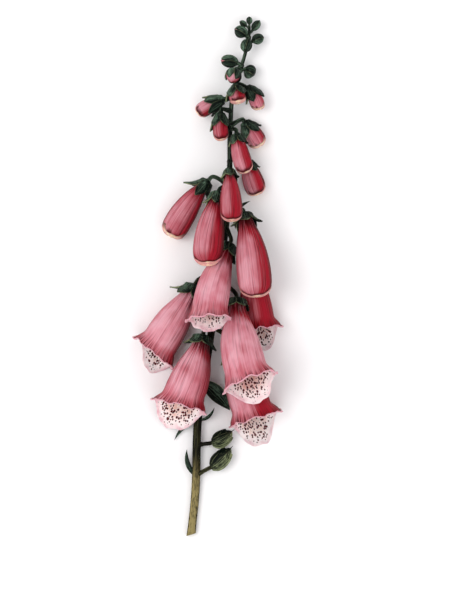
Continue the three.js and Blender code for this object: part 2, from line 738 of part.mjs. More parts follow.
function growPedicel( spine, flower ) {

	const start = stalkAt( flower.root );
	const handle = spine.at( - flower.reach, 0, 0 );
	const straight = spine.at( - flower.reach * PEDICEL_STRAIGHT - SEAT_GAP, 0, 0 );
	const points = new THREE.QuadraticBezierCurve3( start, handle, straight ).getPoints( PEDICEL_STEPS );
	points.push( spine.at( - SEAT_GAP, 0, 0 ) );
	const radius = Math.min( PEDICEL_RADIUS, flower.radius * 0.33 );
	stemPieces.push( filled( tube( points, points.map( () => radius ), PEDICEL_SIDES ) ) );

}

const BRACT_FOLD = 0.12;
const BRACT_OUTLINE = [ [ 0, 0.45 ], [ 0.25, 0.85 ], [ 0.5, 1 ], [ 0.78, 0.62 ], [ 1, 0.08 ] ];

function growBract( { root, middle, tip, width, face } ) {

	const curve = curveThrough( root, middle, tip );
	const upper = [];
	const lower = [];
	for ( const [ share, part ] of BRACT_OUTLINE ) {

		const centre = curve.getPoint( share );
		const along = curve.getTangent( share );
		const normal = vector( face ).addScaledVector( along, - along.dot( vector( face ) ) );
		normal.setLength( BRACT_THICKNESS / 2 );
		const across = new THREE.Vector3().crossVectors( along, normal ).setLength( ( width * part ) / 2 );
		const fold = width * part * BRACT_FOLD;
		const row = ( sign ) => [ - 1, 0, 1 ].map( ( step ) => {

			const point = centre.clone().addScaledVector( across, step ).addScaledVector( normal, sign );
			return point.addScaledVector( normal, Math.abs( step ) * fold / BRACT_THICKNESS );

		} );
		upper.push( row( 1 ) );
		lower.push( row( - 1 ) );

	}

	stemPieces.push( blade( upper, lower ) );

}

// Assembly

growStalk();
BRACTS.forEach( growBract );

OPEN_BLOOMS.forEach( ( flower, k ) => {

	const spine = new Spine( flower );
	const name = `open_bloom_${ k + 1 }`;
	const radiusAt = ( distance ) => openRadius( flower, spine, distance );
	growPedicel( spine, flower );
	add( `${ name }_calyx`, calyx( spine, { turned: 0.5, broad: 1, ...flower }, radiusAt ), CALYX_GREEN );
	add( `${ name }_corolla`, openCorolla( spine, flower ), OPEN_ROSE );
	add( `${ name }_stamens`, stamens( spine, flower ), POLLEN_YELLOW );
	add( `${ name }_pistil`, pistil( spine, flower ), STYLE_GREEN );

} );

const CLOSED_RINGS = [ 0, 0.12, 0.32, 0.55, 0.78, 0.92, 1 ];
const YOUNG_RINGS = [ 0, 0.2, 0.5, 0.85, 1 ];

function addClosed( name, flower, profile, shares ) {

	const spine = new Spine( flower );
	const radiusAt = ( distance ) => closedRadius( flower, spine, profile, distance );
	growPedicel( spine, flower );
	add( `${ name }_calyx`, calyx( spine, flower, radiusAt ), CALYX_GREEN );
	add( `${ name }_corolla`, closedCorolla( spine, flower, profile, shares ), CLOSED_ROSE );

}

CLOSED_BLOOMS.forEach( ( flower, k ) => {

	addClosed( `closed_bloom_${ k + 1 }`, { turned: 0, broad: 1, ...flower }, CLOSED_PROFILE, CLOSED_RINGS );

} );

YOUNG_BUDS.forEach( ( flower, k ) => {

	addClosed( `young_bud_${ k + 1 }`, { turned: 0.5, broad: 1, ...flower }, YOUNG_PROFILE, YOUNG_RINGS );

} );

TIP_BUDS.forEach( ( flower, k ) => {

	const spine = new Spine( flower );
	growPedicel( spine, flower );
	add( `tip_bud_${ k + 1 }`, tipBud( spine, flower ), BUD_GREEN );

} );

SEED_PODS.forEach( ( flower, k ) => {

	const spine = new Spine( flower );
	growPedicel( spine, flower );
	add( `seed_pod_${ k + 1 }`, seedPod( spine, flower ), POD_GREEN );

} );

add( 'stem', fuse( stemPieces ), STEM_GREEN );

export default group;
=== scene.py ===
import math

import bmesh
import bpy
import numpy as np
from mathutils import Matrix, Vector


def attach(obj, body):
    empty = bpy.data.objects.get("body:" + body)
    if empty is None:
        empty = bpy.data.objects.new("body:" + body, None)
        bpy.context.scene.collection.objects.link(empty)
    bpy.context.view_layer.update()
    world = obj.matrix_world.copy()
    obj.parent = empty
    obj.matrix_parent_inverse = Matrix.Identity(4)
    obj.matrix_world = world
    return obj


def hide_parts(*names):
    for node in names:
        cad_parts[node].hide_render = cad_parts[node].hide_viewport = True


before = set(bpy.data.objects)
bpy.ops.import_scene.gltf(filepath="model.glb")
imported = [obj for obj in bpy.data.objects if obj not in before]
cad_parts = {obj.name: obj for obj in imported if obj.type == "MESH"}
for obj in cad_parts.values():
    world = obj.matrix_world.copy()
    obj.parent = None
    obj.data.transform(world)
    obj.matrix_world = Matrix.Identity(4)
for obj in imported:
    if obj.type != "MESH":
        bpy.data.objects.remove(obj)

bl_info = {
    "name": "Foxglove Flower Spike",
    "version": (1, 0, 0),
    "blender": (4, 5, 0),
    "location": "View3D > Sidebar > Foxglove",
    "description": "Grows a cut foxglove spike with its bells, shut blooms, buds and seed pods",
    "category": "Add Mesh",
}

# A millimetre in metres, and the body that every piece rides on

MM = 0.001
BODY = "root"

# The part's own sizes, in millimetres as in its solids

COROLLA_START = 2.0
NOTCH_DISTANCE = 2.3
PEDICEL_RADIUS = 0.95
SEAT_GAP = 0.3
SEAT_DEPTH = 0.15
FILAMENT_RISE = 0.4
HAIR_RADIUS = 0.028

# Heights that leaves, the inside of bells and stamens stay above

LEAF_FLOOR = 0.1
BELL_FLOOR = 0.12
STAMEN_FLOOR = 0.8

# Widths of the bands where a bell's rim and a hood's margin are marked

RIM_BAND = 20
FOLD_BAND = 2.2

# Shares: how far a shut bloom's pole lies below its middle, and how much the cut slants

POLE_DROP = 0.4
CUT_SLANT = 0.4

# Counts of sepals, of hairs on each part, and of rings and columns of points

SEPALS = 5
SECTOR = math.pi / SEPALS
STALK_HAIRS = 1500
PEDICEL_HAIRS = 46
SEPAL_HAIRS = 34
LIP_HAIRS = 150
SLANTED_RINGS = 6
ROLL_ROWS = 7
BELL_COLUMNS = 112
SHUT_COLUMNS = 120
BLADE_COLUMNS = 13

# Points nearer than this, in metres, are one; faces that turn more than this meet in an edge

SAME_PLACE = 1e-8
SHARP = math.radians(55)

# The mark of a place with no margin, the way up, and the places across a blade

NO_EDGE = -1
UP = np.array([0.0, 0.0, 1.0])
ACROSS = np.linspace(-1, 1, BLADE_COLUMNS)[None, :]
ASIDE = np.abs(ACROSS)

# Outlines: pairs of a share of the length and a share of the width there

OPEN_PROFILE = ((0, 0.39), (0.12, 0.42), (0.28, 0.61), (0.5, 0.85), (0.72, 0.95), (0.88, 0.97), (1, 1.08))
CLOSED_PROFILE = ((0, 0.4), (0.12, 0.48), (0.32, 0.75), (0.55, 0.95), (0.76, 1), (0.9, 0.94), (1, 0.8))
YOUNG_PROFILE = ((0, 0.46), (0.15, 0.7), (0.35, 0.9), (0.6, 1), (0.8, 0.98), (0.9, 0.9), (1, 0.76))
BUD_PROFILE = ((0, 0.34), (0.14, 0.74), (0.4, 1), (0.66, 0.93), (0.86, 0.6), (1, 0))
POD_PROFILE = ((0, 0.4), (0.16, 0.84), (0.42, 1), (0.7, 0.82), (0.9, 0.42), (1, 0))
SEPAL_OUTLINE = ((0, 0.9), (0.2, 0.98), (0.4, 1), (0.6, 0.86), (0.8, 0.5), (1, 0.03))
BRACT_OUTLINE = ((0, 0.45), (0.25, 0.85), (0.5, 1), (0.78, 0.62), (1, 0.02))

# The pistil: its radius along the bell, and how far it stands off the middle line

STYLE_RADIUS = (
    (0, 0.6), (0.04, 0.72), (0.08, 0.75), (0.14, 0.52), (0.22, 0.34), (0.5, 0.3), (0.76, 0.28), (0.82, 0.34),
)
STYLE_LIFT = ((0, 0), (0.08, 0), (0.14, 0.05), (0.22, 0.14), (0.5, 0.3), (0.82, 0.44))

# The cup of a calyx: distance, share of the corolla's foot and what is added to that radius

CUP = (
    (-0.05, 0, 0.95), (0.25, 0.55, 0), (0.7, 0.9, 0), (1.2, 1, 0.62),
    (1.9, 1, 0.95), (2.2, 1, 0.8), (2.1, 1, 0.5), (1.7, 1, 0.4),
)

# The cut face: how much of the stalk's ring is left, and how deep the face is dished there

CUT_FACE = ((1, 0), (0.86, 0), (0.8, 0.12), (0.5, 0.1), (0.2, 0.05), (0, 0.05))

# Lobes of a mouth: the angle of their middle, their width and how far they reach

LOBES = (
    (math.pi * 0.47, math.pi * 0.145, 1.8),
    (math.pi * 0.155, math.pi * 0.1, 0.9),
    (math.pi * 0.79, math.pi * 0.07, 0.6),
)

# Filaments: the angle that they stand at and how far up the bell they reach

FILAMENTS = ((0.75, 0.66), (-0.75, 0.66), (1.35, 0.52), (-1.35, 0.52))

# The stalk from the cut end to the tip: x, y, z and radius

STALK = (
    (-7.5, -119.6, 1.9, 2.2), (-6.9, -114, 1.85, 1.95), (-5.8, -104, 1.9, 1.9), (-5.1, -92, 2.2, 1.9),
    (-4.9, -80, 2.8, 1.9), (-4.4, -68.5, 3.4, 1.85), (-3.1, -57, 4, 1.8), (-0.6, -42, 4.8, 1.75),
    (2, -26, 5.6, 1.7), (4.2, -10, 6.4, 1.6), (6.4, 6, 7.2, 1.5), (8.6, 21, 8, 1.4), (10, 36, 8.6, 1.3),
    (10.5, 51, 8.8, 1.2), (10.5, 64, 8.3, 1.1), (10.9, 74, 7.9, 1.05), (11.5, 82, 7.5, 1),
    (13, 89, 7, 0.95), (15.5, 96, 6.5, 0.85), (17.5, 102.5, 6.1, 0.8), (19.2, 110, 5.6, 0.7),
    (19.5, 115.5, 5.2, 0.6),
)


def table(names, *rows, **same):
    """Pieces of a kind: a row of values for each in the order of their names, and what all share."""
    return [dict(zip(names.split(), row), **same) for row in rows]


# Flowers: a curve through base, middle and end. root is the height on the stalk where the flower
# stalk begins and reach how far that stalk runs on in line with the flower. look is how crimson a
# corolla is all over and at its foot, how much painted shade lies in crimson and wine down its right
# side, where that painted shade begins and how strongly its foot is streaked with wine; blotch is a
# deeper patch's place.

OPEN_BLOOMS = table(
    "base middle end radius lip slant root reach sepal spread hood tongue lean flare look blotch",
    ((-1.8, -26.7, 12.5), (-6.5, -43.5, 14.8), (-12.3, -58, 15.6), 9.8, 12.6, 2.4, -20, 4, 5.4, 2.8,
     0, 0.88, -0.12, 1, (0.1, 0.8, 0.8, 0.5, 1.0), (0.55, -0.35)),
    ((10.8, -31, 6.8), (15.8, -47.5, 8.6), (21.8, -64, 8.9), 9.6, 14.2, -1, -23, 3, 8, 1.4,
     0, 0.78, 0.16, 1, (0.16, 0.8, 1.0, 0.15, 0.6), (0.8, 0.5)),
    ((13.6, -10.5, 15), (14.9, -29.5, 24), (18.8, -46, 31), 10.2, 8.6, 0.6, -2, 4, 5.4, 0.6,
     3.6, 0.72, -0.08, 0.9, (0.04, 1.1, 0.5, 0.6, 0.8), (0.75, 0.1)),
    ((-5.5, -3.7, 8.5), (-14.5, -19, 8.4), (-23.4, -33.2, 8.2), 9, 10, -1.2, 2, 4, 7, 4.5,
     1.2, 0.68, -0.2, 0.7, (0.08, 0.2, 0.95, 0.72, 0.3), (0.5, -0.2)),
    ((19.3, 9, 6.6), (21.7, -7.5, 6.9), (24.3, -23, 7.1), 7.6, 10.8, 0, 12, 3, 7, 1,
     0, 0.6, -0.1, 1, (0.62, 0.5, 0.7, 0.2, 0.6), (0.7, -0.7)),
    ((10.5, 15, 12.5), (4.2, -1.5, 21.2), (1.1, -17, 28.8), 8.4, 4.2, 1.6, 22, 3, 7.5, 1,
     4.6, 0.74, -0.1, 0.25, (0.06, 1.1, 0.5, 0.6, 0.6), (0.55, 0.4)),
    profile=OPEN_PROFILE, turned=0.5, broad=1,
)
CLOSED_BLOOMS = table(
    "base middle end radius root reach sepal spread look crease band",
    ((17, 29, 14), (20.5, 10, 21.5), (22.5, -10, 25), 7.8, 30, 3, 6.4, 2.6,
     (0.26, 0.95, 0.9, 0.25, 0.9), 0.38, 0.18),
    ((5.2, 38.5, 13), (1.3, 20.5, 23), (0.2, 5.3, 30.5), 6.9, 42, 3, 8, 0.8,
     (0.4, 0.8, 1.0, 0.25, 1.0), -0.2, 0.3),
    ((0.8, 44.3, 9.8), (-8.6, 32.3, 7), (-17.2, 18, 5.4), 6.2, 41, 4, 8, 3.6,
     (0.44, 0.5, 1.0, 0.62, 0.7), -0.75, 0.3),
    ((10.2, 49, 14.5), (11, 37, 23.2), (11.4, 25, 28.6), 5.1, 53, 3, 6.2, 0.6,
     (0.52, 0.7, 1.0, 0.14, 1.0), 0.05, 0.28),
    profile=CLOSED_PROFILE, turned=0, broad=1, blunt=0.84,
)
YOUNG_BUDS = table(
    "base middle end radius root reach sepal spread turned broad look band",
    ((18.3, 54, 6.5), (20.5, 46, 5), (23.5, 37.3, 4.4), 4.9, 57, 3, 5.4, 0, 0.5, 1,
     (0.38, 0.8, 1.0, 0.2, 1.0), 0.2),
    ((13.6, 66, 12.5), (15.3, 56.5, 14.6), (18.2, 47.2, 15.8), 4.3, 68, 2, 5.8, 0.2, 0.5, 1,
     (0.42, 0.6, 1.0, 0.2, 1.0), 0.24),
    ((16.9, 71.8, 6.2), (20.8, 66, 4.6), (24.5, 59.7, 3.9), 4.4, 69.5, 1.3, 6.8, 0.5, 0.5, 1.2,
     (0.22, 0.6, 0.9, 0.35, 0.9), 0.32),
    ((6.3, 75.8, 10.5), (6.2, 69, 13), (6.8, 62.3, 15), 3.5, 76, 2, 8.4, 0.5, 0.5, 1.5,
     (0.55, 0.6, 0.8, 0.1, 1.1), 0.3),
    ((17.4, 87.5, 7), (21.7, 83, 6.5), (24.1, 76.6, 6), 3.3, 89, 2, 8, 0.4, 0.25, 1.4,
     (0.1, 0.5, 0.8, 0.4, 1.0), 0.36),
    ((13.3, 88, 10.5), (13.7, 84, 13.5), (14.4, 79.5, 15.5), 3.9, 90, 2, 7.8, 0.6, 0.5, 1.5,
     (0.5, 0.6, 0.9, 0.1, 0.5), 0.45),
    ((8.5, 81.8, 7.8), (2.3, 79.3, 7.4), (-4.8, 75, 6.8), 3.6, 81.5, 1, 9.4, 0.4, 0.5, 1.5,
     (0.36, 0.3, 0.9, 0.3, 0.4), 0.2),
    profile=YOUNG_PROFILE, blunt=0.74,
)
TIP_BUDS = table(
    "base middle end radius root reach gape",
    ((12.9, 94.8, 10.6), (12, 92, 13.1), (11.2, 88.9, 14.8), 3.7, 96, 1.5, 0.9),
    ((17.4, 95.3, 6), (19.6, 94.4, 5.2), (22, 92.8, 4.5), 3.2, 94.5, 1, 0),
    ((14.2, 98.1, 7.8), (10.3, 99.2, 7.4), (6, 99.4, 7.7), 2.9, 97, 1, 0.35),
    ((18.8, 109, 8.4), (18, 106, 9.8), (17, 103.2, 10.6), 2.6, 109.5, 1, 0),
    ((20.9, 108.4, 5.5), (23.6, 109.6, 5), (26.4, 110.3, 4.5), 2.4, 107, 1, 0),
    ((18, 111, 6.6), (15.5, 112.8, 7.1), (12.6, 114.1, 7.6), 2.8, 110, 1, 0),
    ((21, 113.6, 5.2), (22.8, 116, 5), (24.4, 118.2, 4.8), 1.8, 112, 1, 0),
    ((18.2, 115.4, 5.8), (16.6, 116.7, 6.2), (15, 117.7, 6.6), 1.35, 114, 0.6, 0),
    ((19.5, 116.4, 5), (19.5, 118.2, 4.8), (19.4, 120, 4.6), 1.4, 115, 0.6, 0),
    profile=BUD_PROFILE, look=(0.05, 0, 0.7, 0.3, 0.3),
)
SEED_PODS = table(
    "base middle end radius root",
    ((2.4, -77, 4.3), (6.7, -75.2, 4.6), (11.6, -71.6, 4), 3.7, -78),
    ((1.8, -88.3, 4), (5.8, -85.2, 4), (11, -79.4, 4.4), 3.8, -92),
    profile=POD_PROFILE, reach=2, look=(0, 0, 0, 0, 0),
)
BRACTS = table(
    "root middle tip width face",
    ((-4.4, -67, 3.2), (-10.5, -69.6, 2.4), (-15.2, -76, 1.2), 2, (0, 0, 1)),
    ((-4, -66.6, 3.8), (0.6, -65, 5), (3.4, -60.6, 6), 1.6, (0, 0, 1)),
    ((-5, -92.5, 2.4), (-8.8, -87, 3.4), (-9.3, -80, 3.8), 2.4, (0, 0, 1)),
    ((-1.8, -49.5, 4.6), (4.6, -54.6, 5), (10.4, -62, 1.6), 7.4, (0.2, 0, 1)),
    ((9.8, 27, 8.4), (14.5, 31.6, 9.6), (20, 34.6, 11.5), 1.8, (0, 0, 1)),
    ((9, 26.5, 8.2), (12, 26, 11), (13, 21.5, 12), 2.2, (1, 0, 1)),
)


# Sizes and colours that a user would change


def linear(red, green, blue):
    """A colour as Blender works with it, from the usual values of 0 to 255."""
    return tuple(
        part / 12.92 if part <= 0.04045 else ((part + 0.055) / 1.055) ** 2.4
        for part in (red / 255, green / 255, blue / 255)
    )


def colour(name, description, red, green, blue):
    """A colour that the sidebar shows."""
    return bpy.props.FloatVectorProperty(
        name=name, description=description, subtype="COLOR", size=3, min=0, max=1,
        default=linear(red, green, blue),
    )


def size(name, description, default):
    """A small size that the sidebar shows, kept in metres."""
    return bpy.props.FloatProperty(
        name=name, description=description, default=default * MM, min=0, precision=5,
        subtype="DISTANCE", unit="LENGTH",
    )


class FoxgloveShape(bpy.types.PropertyGroup):
    """Sizes of the parts of a flower"""

    petal: size("Petal", "Thickness of a bell's wall near its foot", 0.6)
    rim: size("Rim", "Thickness of a bell's wall at its mouth", 0.3)
    roll: size("Rolled rim", "Radius that a bell's rim is rolled back by", 0.7)
    ripple: size("Ripple", "How far the rim waves to and fro", 0.4)
    rib: size("Rib", "Height of the ribs along a bell", 0.16)
    sepal: size("Sepal", "Thickness of a sepal", 0.5)
    bract: size("Bract", "Thickness of a bract", 0.5)
    hair: size("Hair", "Length of the hairs on stem and calyx", 0.55)
    fold: size("Fold", "Depth of the fold along a shut bloom", 0.5)


class FoxgloveColours(bpy.types.PropertyGroup):
    """Colours of the flower"""

    pale: colour("Pale rose", "The light side of a bell", 221, 161, 173)
    rose: colour("Rose", "The middle tone of a bell", 198, 115, 129)
    # Crimson is the bell's own crimson and also its painted shade down the right side.
    crimson: colour("Crimson", "The deep side and the veins of a bell", 153, 17, 36)
    # Wine is also the painted shade at a bell's right edge and the painted shadow on a rolled rim and in a
    # shut bloom's fold.
    wine: colour("Wine", "The darkest lines at the calyx", 62, 2, 6)
    lip: colour("Lip", "The inside of the lower lip", 255, 234, 233)
    # Blush is also the painted shade in the folds at the lower lip's sides.
    blush: colour("Blush", "The inside under the upper lip and the lip's margin", 214, 158, 170)
    throat: colour("Throat", "The warm tint deep in the mouth", 204, 134, 88)
    spot: colour("Spots", "The spots in the lower lip", 78, 8, 18)
    cream: colour("Cream", "The lip that a shut bloom shows", 244, 214, 178)
    leaf: colour("Leaf green", "Sepals, bracts and buds in shade", 5, 14, 9)
    # Bloom green is the painted light on the lit side of sepals, buds and the stem's tip, and the colour of
    # their veins and hairs.
    bloom: colour("Bloom green", "The light side of sepals and buds", 106, 134, 111)
    # Margin is also the painted light on the lit side of the seed pods.
    margin: colour("Margin", "The pale margin of a sepal", 142, 151, 111)
    bark: colour("Stem shade", "The dark side of the stem", 9, 9, 4)
    olive: colour("Stem light", "The light streaks on the stem", 104, 102, 60)
    tan: colour("Stem foot", "The old bark near the cut", 146, 132, 86)
    cut: colour("Cut face", "The pith where the stem was cut", 206, 192, 140)
    pollen: colour("Pollen", "The pollen sacs", 222, 182, 92)
    filament: colour("Filament", "The stalks of the pollen sacs", 240, 226, 206)
    style: colour("Style", "The ovary and its style", 176, 184, 120)
    down: colour("Down", "The short hairs on stem and calyx", 150, 160, 132)
    paper: colour("Surface", "The surface that the spike lies on", 250, 249, 250)


def size_of(name):
    """One of the sizes, in millimetres."""
    return getattr(bpy.context.scene.foxglove_shape, name) / MM


# Curves and values along a flower


def step(value, low, high):
    """0 below low, 1 above high and a smooth rise between them; low may be the greater one."""
    share = np.clip((np.asarray(value, float) - low) / (high - low), 0, 1)
    return share * share * (3 - 2 * share)


def through(pairs, position):
    """A smooth value through pairs of position and value."""
    marks, values = np.array(pairs, float).T
    position = np.asarray(position, float)
    before = np.clip(np.arange(len(marks)) - 1, 0, None)
    after = np.clip(np.arange(len(marks)) + 1, None, len(marks) - 1)
    slopes = (values[after] - values[before]) / (marks[after] - marks[before])
    k = np.clip(np.searchsorted(marks, position) - 1, 0, len(marks) - 2)
    span = marks[k + 1] - marks[k]
    share = np.clip((position - marks[k]) / span, 0, 1)
    rise = (3 - 2 * share) * share * share
    tilt = slopes[k] * (1 - share) - slopes[k + 1] * share
    return values[k] * (1 - rise) + values[k + 1] * rise + span * share * (1 - share) * tilt


def waves(angle, counts, heights, phases):
    """A line that waves to and fro round a flower."""
    return sum(h * np.sin(n * angle + p) for n, h, p in zip(counts, heights, phases))


def unit(vectors):
    """The same directions with a length of one."""
    return vectors / np.linalg.norm(vectors, axis=-1, keepdims=True)


def ring(count, start=0.0):
    """Angles round a flower, in one row."""
    return np.linspace(start, start + 2 * math.pi, count, endpoint=False)[None, :]


def shares(count):
    """Shares of a length from 0 to 1, in one column."""
    return np.linspace(0, 1, count)[:, None]


def walked(points):
    """The distance along a line of points, at each of them."""
    steps = np.linalg.norm(np.diff(points, axis=0), axis=1)
    return np.concatenate([[0], np.cumsum(steps)])


def bend(start, handle, stop, t):
    """Points on a curve from start to stop that is drawn towards a handle."""
    return (1 - t) ** 2 * start + 2 * t * (1 - t) * handle + t * t * stop


def heading(start, handle, stop, t):
    """Directions of that curve."""
    return unit(2 * (1 - t) * (handle - start) + 2 * t * (stop - handle))


def handle_of(start, middle, stop):
    """The handle that takes the curve through its middle."""
    return 2 * middle - 0.5 * start - 0.5 * stop


class Spine:
    """The curved middle line of a flower, and the places round it."""

    def __init__(self, flower, offset=0.0, draws=None):
        """Takes the flower, how far its skin is shifted in the pattern, and its random draws."""
        start, middle, stop = (np.array(flower[k], float) for k in ("base", "middle", "end"))
        self.flower = flower
        self.offset = offset
        self.draws = draws
        self.curve = start, handle_of(start, middle, stop), stop
        self.shares = np.linspace(0, 1, 201)
        self.lengths = walked(bend(*self.curve, self.shares[:, None]))
        self.length = self.lengths[-1]

    def corolla(self, share):
        """The distance at a share of the corolla."""
        return COROLLA_START + (self.length - COROLLA_START) * share

    def girth(self, share):
        """The radius at a share of the flower's profile."""
        return self.flower["radius"] * through(self.flower["profile"], share)

    def radius_at(self, distance):
        """The radius of the corolla at a distance along the line."""
        return self.girth(np.clip((distance - COROLLA_START) / (self.length - COROLLA_START), 0, 1))

    def at(self, distance, radius, angle, floor=0.0):
        """Places at a distance along the line, a radius and an angle round it, none below floor."""
        distance, radius, angle = np.broadcast_arrays(distance, radius, angle)
        inside = np.clip(distance, 0, self.length)
        t = np.interp(inside, self.lengths, self.shares)[..., None]
        along = heading(*self.curve, t)
        up = unit(UP - along * along[..., 2:])
        side = np.cross(along, up)
        place = bend(*self.curve, t) + along * (distance - inside)[..., None]
        place = place + up * (radius * np.cos(angle))[..., None] + side * (radius * np.sin(angle))[..., None]
        place[..., 2] = np.maximum(place[..., 2], floor)
        return place

    def marks(self, distance, radius, angle, edge=NO_EDGE, further=0):
        """The marks of places on the flower's skin."""
        share = distance / self.length
        turn = (np.sin(angle), np.cos(angle), share)
        skin = (np.sin(angle) * radius, np.cos(angle) * radius, distance + (self.offset + further))
        return turn, skin, (*bell_tint_and_painted_shade(self.flower, share, angle), edge)

    def add_rows(self, tissue, distance, radius, angle, edge=NO_EDGE):
        """Adds a grid of places with their marks and returns their numbers."""
        return tissue.rows(self.at(distance, radius, angle), *self.marks(distance, radius, angle, edge))


def bell_tint_and_painted_shade(flower, share, angle):
    """How crimson and how wine-dark the skin of a corolla is, painted shade down its right side included."""
    whole, foot, dark, side, wine = flower["look"]
    # right runs to 1 down the bell's right side, where its painted shade lies.
    right = -np.sin(angle)
    low = step(share, 0.42, 0.15)
    # Crimson: the bell's own colour all over and at its foot, the foot heavier to the right as painted
    # shade, and painted shade from side to the right edge.
    crimson = whole + foot * low * (0.85 + 0.35 * right) + dark * step(right, side - 0.45, side + 0.85)
    # A painted dark line of shade along the left edge, and the bell's own deeper crimson near the mouth.
    crimson = crimson + 0.3 * step(-right, 0.8, 1.0) + 0.3 * step(share, 0.86, 1.0)
    if "blotch" in flower:
        along, across = flower["blotch"]
        crimson = crimson + 0.34 * np.exp(-(((share - along) / 0.1) ** 2) - ((right - across) / 0.35) ** 2)
    # Deeper crimson on the underside.
    crimson = crimson + 0.25 * step(-np.cos(angle), 0, 1)
    # Wine: the foot's own streaks, heavier to the right as painted shade, and painted shade at the right
    # edge, as much as shaded says.
    shaded = 0.42 if "lip" in flower else 0.7
    deep = wine * step(share, 0.32, 0.1) * (0.85 + 0.4 * right) + shaded * dark * step(right, 0.72, 1.05)
    # Wine also as a painted dark line of shade along the left edge, and with the crimson all over.
    return crimson, deep + 0.3 * step(-right, 0.9, 1.0) + 0.3 * whole


def inner_skin(distance, radius, thickness):
    """The same surface moved inward by its thickness."""
    slope = np.arctan2(np.gradient(radius, axis=0), np.gradient(distance, axis=0))
    return distance + np.sin(slope) * thickness, radius - np.cos(slope) * thickness


def margin(numbers):
    """The numbers round the edge of a grid, in order."""
    return np.concatenate([numbers[0], numbers[1:, -1], numbers[-1, -2::-1], numbers[-2:0:-1, 0]])


# Meshes


class Tissue:
    """Points, faces and the marks that the finishes read, gathered for one piece.

    turn is the sine and cosine of the angle round the flower and the share of its length,
    skin is a place on the flower's skin in millimetres, and tint holds how crimson and how
    wine-dark a place is, painted shade included, and its nearness to a margin.
    """

    def __init__(self):
        """Starts with no points."""
        self.points = []
        self.marks = {"turn": [], "skin": [], "tint": []}
        self.faces = []
        self.slots = []
        self.count = 0

    def rows(self, places, turn, skin, tint=(0, 0, 0)):
        """Adds a grid of points and returns their numbers."""
        shape = places.shape[:-1]
        numbers = np.arange(places[..., 0].size).reshape(shape) + self.count
        self.points.append(places.reshape(-1, 3))
        for name, parts in (("turn", turn), ("skin", skin), ("tint", tint)):
            whole = np.stack([np.broadcast_to(np.asarray(part, float), shape) for part in parts], -1)
            self.marks[name].append(whole.reshape(-1, 3))
        self.count += numbers.size
        return numbers

    def close(self, rings, slot=0):
        """Adds a face over each ring of numbers."""
        corners = np.atleast_2d(rings)
        self.faces += corners.tolist()
        self.slots += [slot] * len(corners)

    def cover(self, numbers, slot=0, closed=True):
        """Adds faces between neighbouring rows of numbers; closed rows go round."""
        near, far = numbers[:-1], numbers[1:]
        if closed:
            corners = (near, np.roll(near, -1, -1), np.roll(far, -1, -1), far)
        else:
            corners = (near[:, :-1], near[:, 1:], far[:, 1:], far[:, :-1])
        self.close(np.stack(corners, -1).reshape(-1, 4), slot)

    def grow(self, name, finishes):
        """Makes the piece, with equal points joined and its faces turned outward."""
        mesh = bpy.data.meshes.new(name)
        points = np.concatenate(self.points) * MM
        mesh.from_pydata(points.tolist(), [], self.faces)
        mesh.polygons.foreach_set("material_index", self.slots)
        for mark, parts in self.marks.items():
            attribute = mesh.attributes.new(mark, "FLOAT_VECTOR", "POINT")
            attribute.data.foreach_set("vector", np.concatenate(parts).ravel())
        shape = bmesh.new()
        shape.from_mesh(mesh)
        bmesh.ops.remove_doubles(shape, verts=shape.verts, dist=SAME_PLACE)
        bmesh.ops.dissolve_degenerate(shape, edges=shape.edges, dist=SAME_PLACE)
        bmesh.ops.recalc_face_normals(shape, faces=shape.faces)
        shape.to_mesh(mesh)
        shape.free()
        mesh.shade_smooth()
        mesh.set_sharp_from_angle(angle=SHARP)
        for finish in finishes:
            mesh.materials.append(finish_of(finish))
        piece = bpy.data.objects.new(name, mesh)
        bpy.context.scene.collection.objects.link(piece)
        return piece

    def seat(self, name, node, slot, *finishes):
        """Grows the piece and puts it in place of its solid."""
        piece = self.grow(name, finishes)
        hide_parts(node)
        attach(piece, BODY)


def add_hairs(tissue, roots, ways, lengths, slot):
    """Tapered hairs that stand on their roots and bend over a little."""
    first = unit(np.cross(ways, unit(np.array([0.3, 0.5, 0.8]))))
    second = np.cross(ways, first)
    turns = np.arange(3) * 2 * math.pi / 3
    sides = first[:, None] * np.cos(turns)[:, None] + second[:, None] * np.sin(turns)[:, None]
    rings = []
    for share, width in ((-0.1, 1.0), (0.5, 0.65), (1.0, 0.2)):
        centre = roots + (ways * share + first * 0.3 * share**2) * lengths[:, None]
        rings.append(centre[:, None] + sides * HAIR_RADIUS * width)
    places = np.stack(rings)
    numbers = tissue.rows(places, (0.5, 0.5, 0), tuple(np.moveaxis(places, -1, 0)))
    tissue.cover(numbers, slot)
    tissue.close(numbers[0], slot)
    tissue.close(numbers[2], slot)


def add_down(tissue, places, outward, weight, count, length, draws, slot, closed=True):
    """Hairs strewn over a grid of places, most of them where the weight is great."""
    rows, columns = places.shape[:2]
    chance = (weight * np.ones((rows, columns))).ravel()
    row, column = np.divmod(draws.choice(rows * columns, count, p=chance / chance.sum()), columns)
    below = np.minimum(row + 1, rows - 1)
    beside = (column + 1) % columns if closed else np.minimum(column + 1, columns - 1)
    a, b = draws.random((2, count, 1))
    roots = (places[row, column] * (1 - a) + places[below, column] * a) * (1 - b)
    roots = roots + (places[row, beside] * (1 - a) + places[below, beside] * a) * b
    ways = unit(outward[row, column] + draws.normal(0, 0.25, (count, 3)))
    lengths = length * draws.uniform(0.6, 1.2, count)
    above = roots[:, 2] + np.minimum(ways[:, 2], 0) * lengths > HAIR_RADIUS
    add_hairs(tissue, roots[above], ways[above], lengths[above], slot)


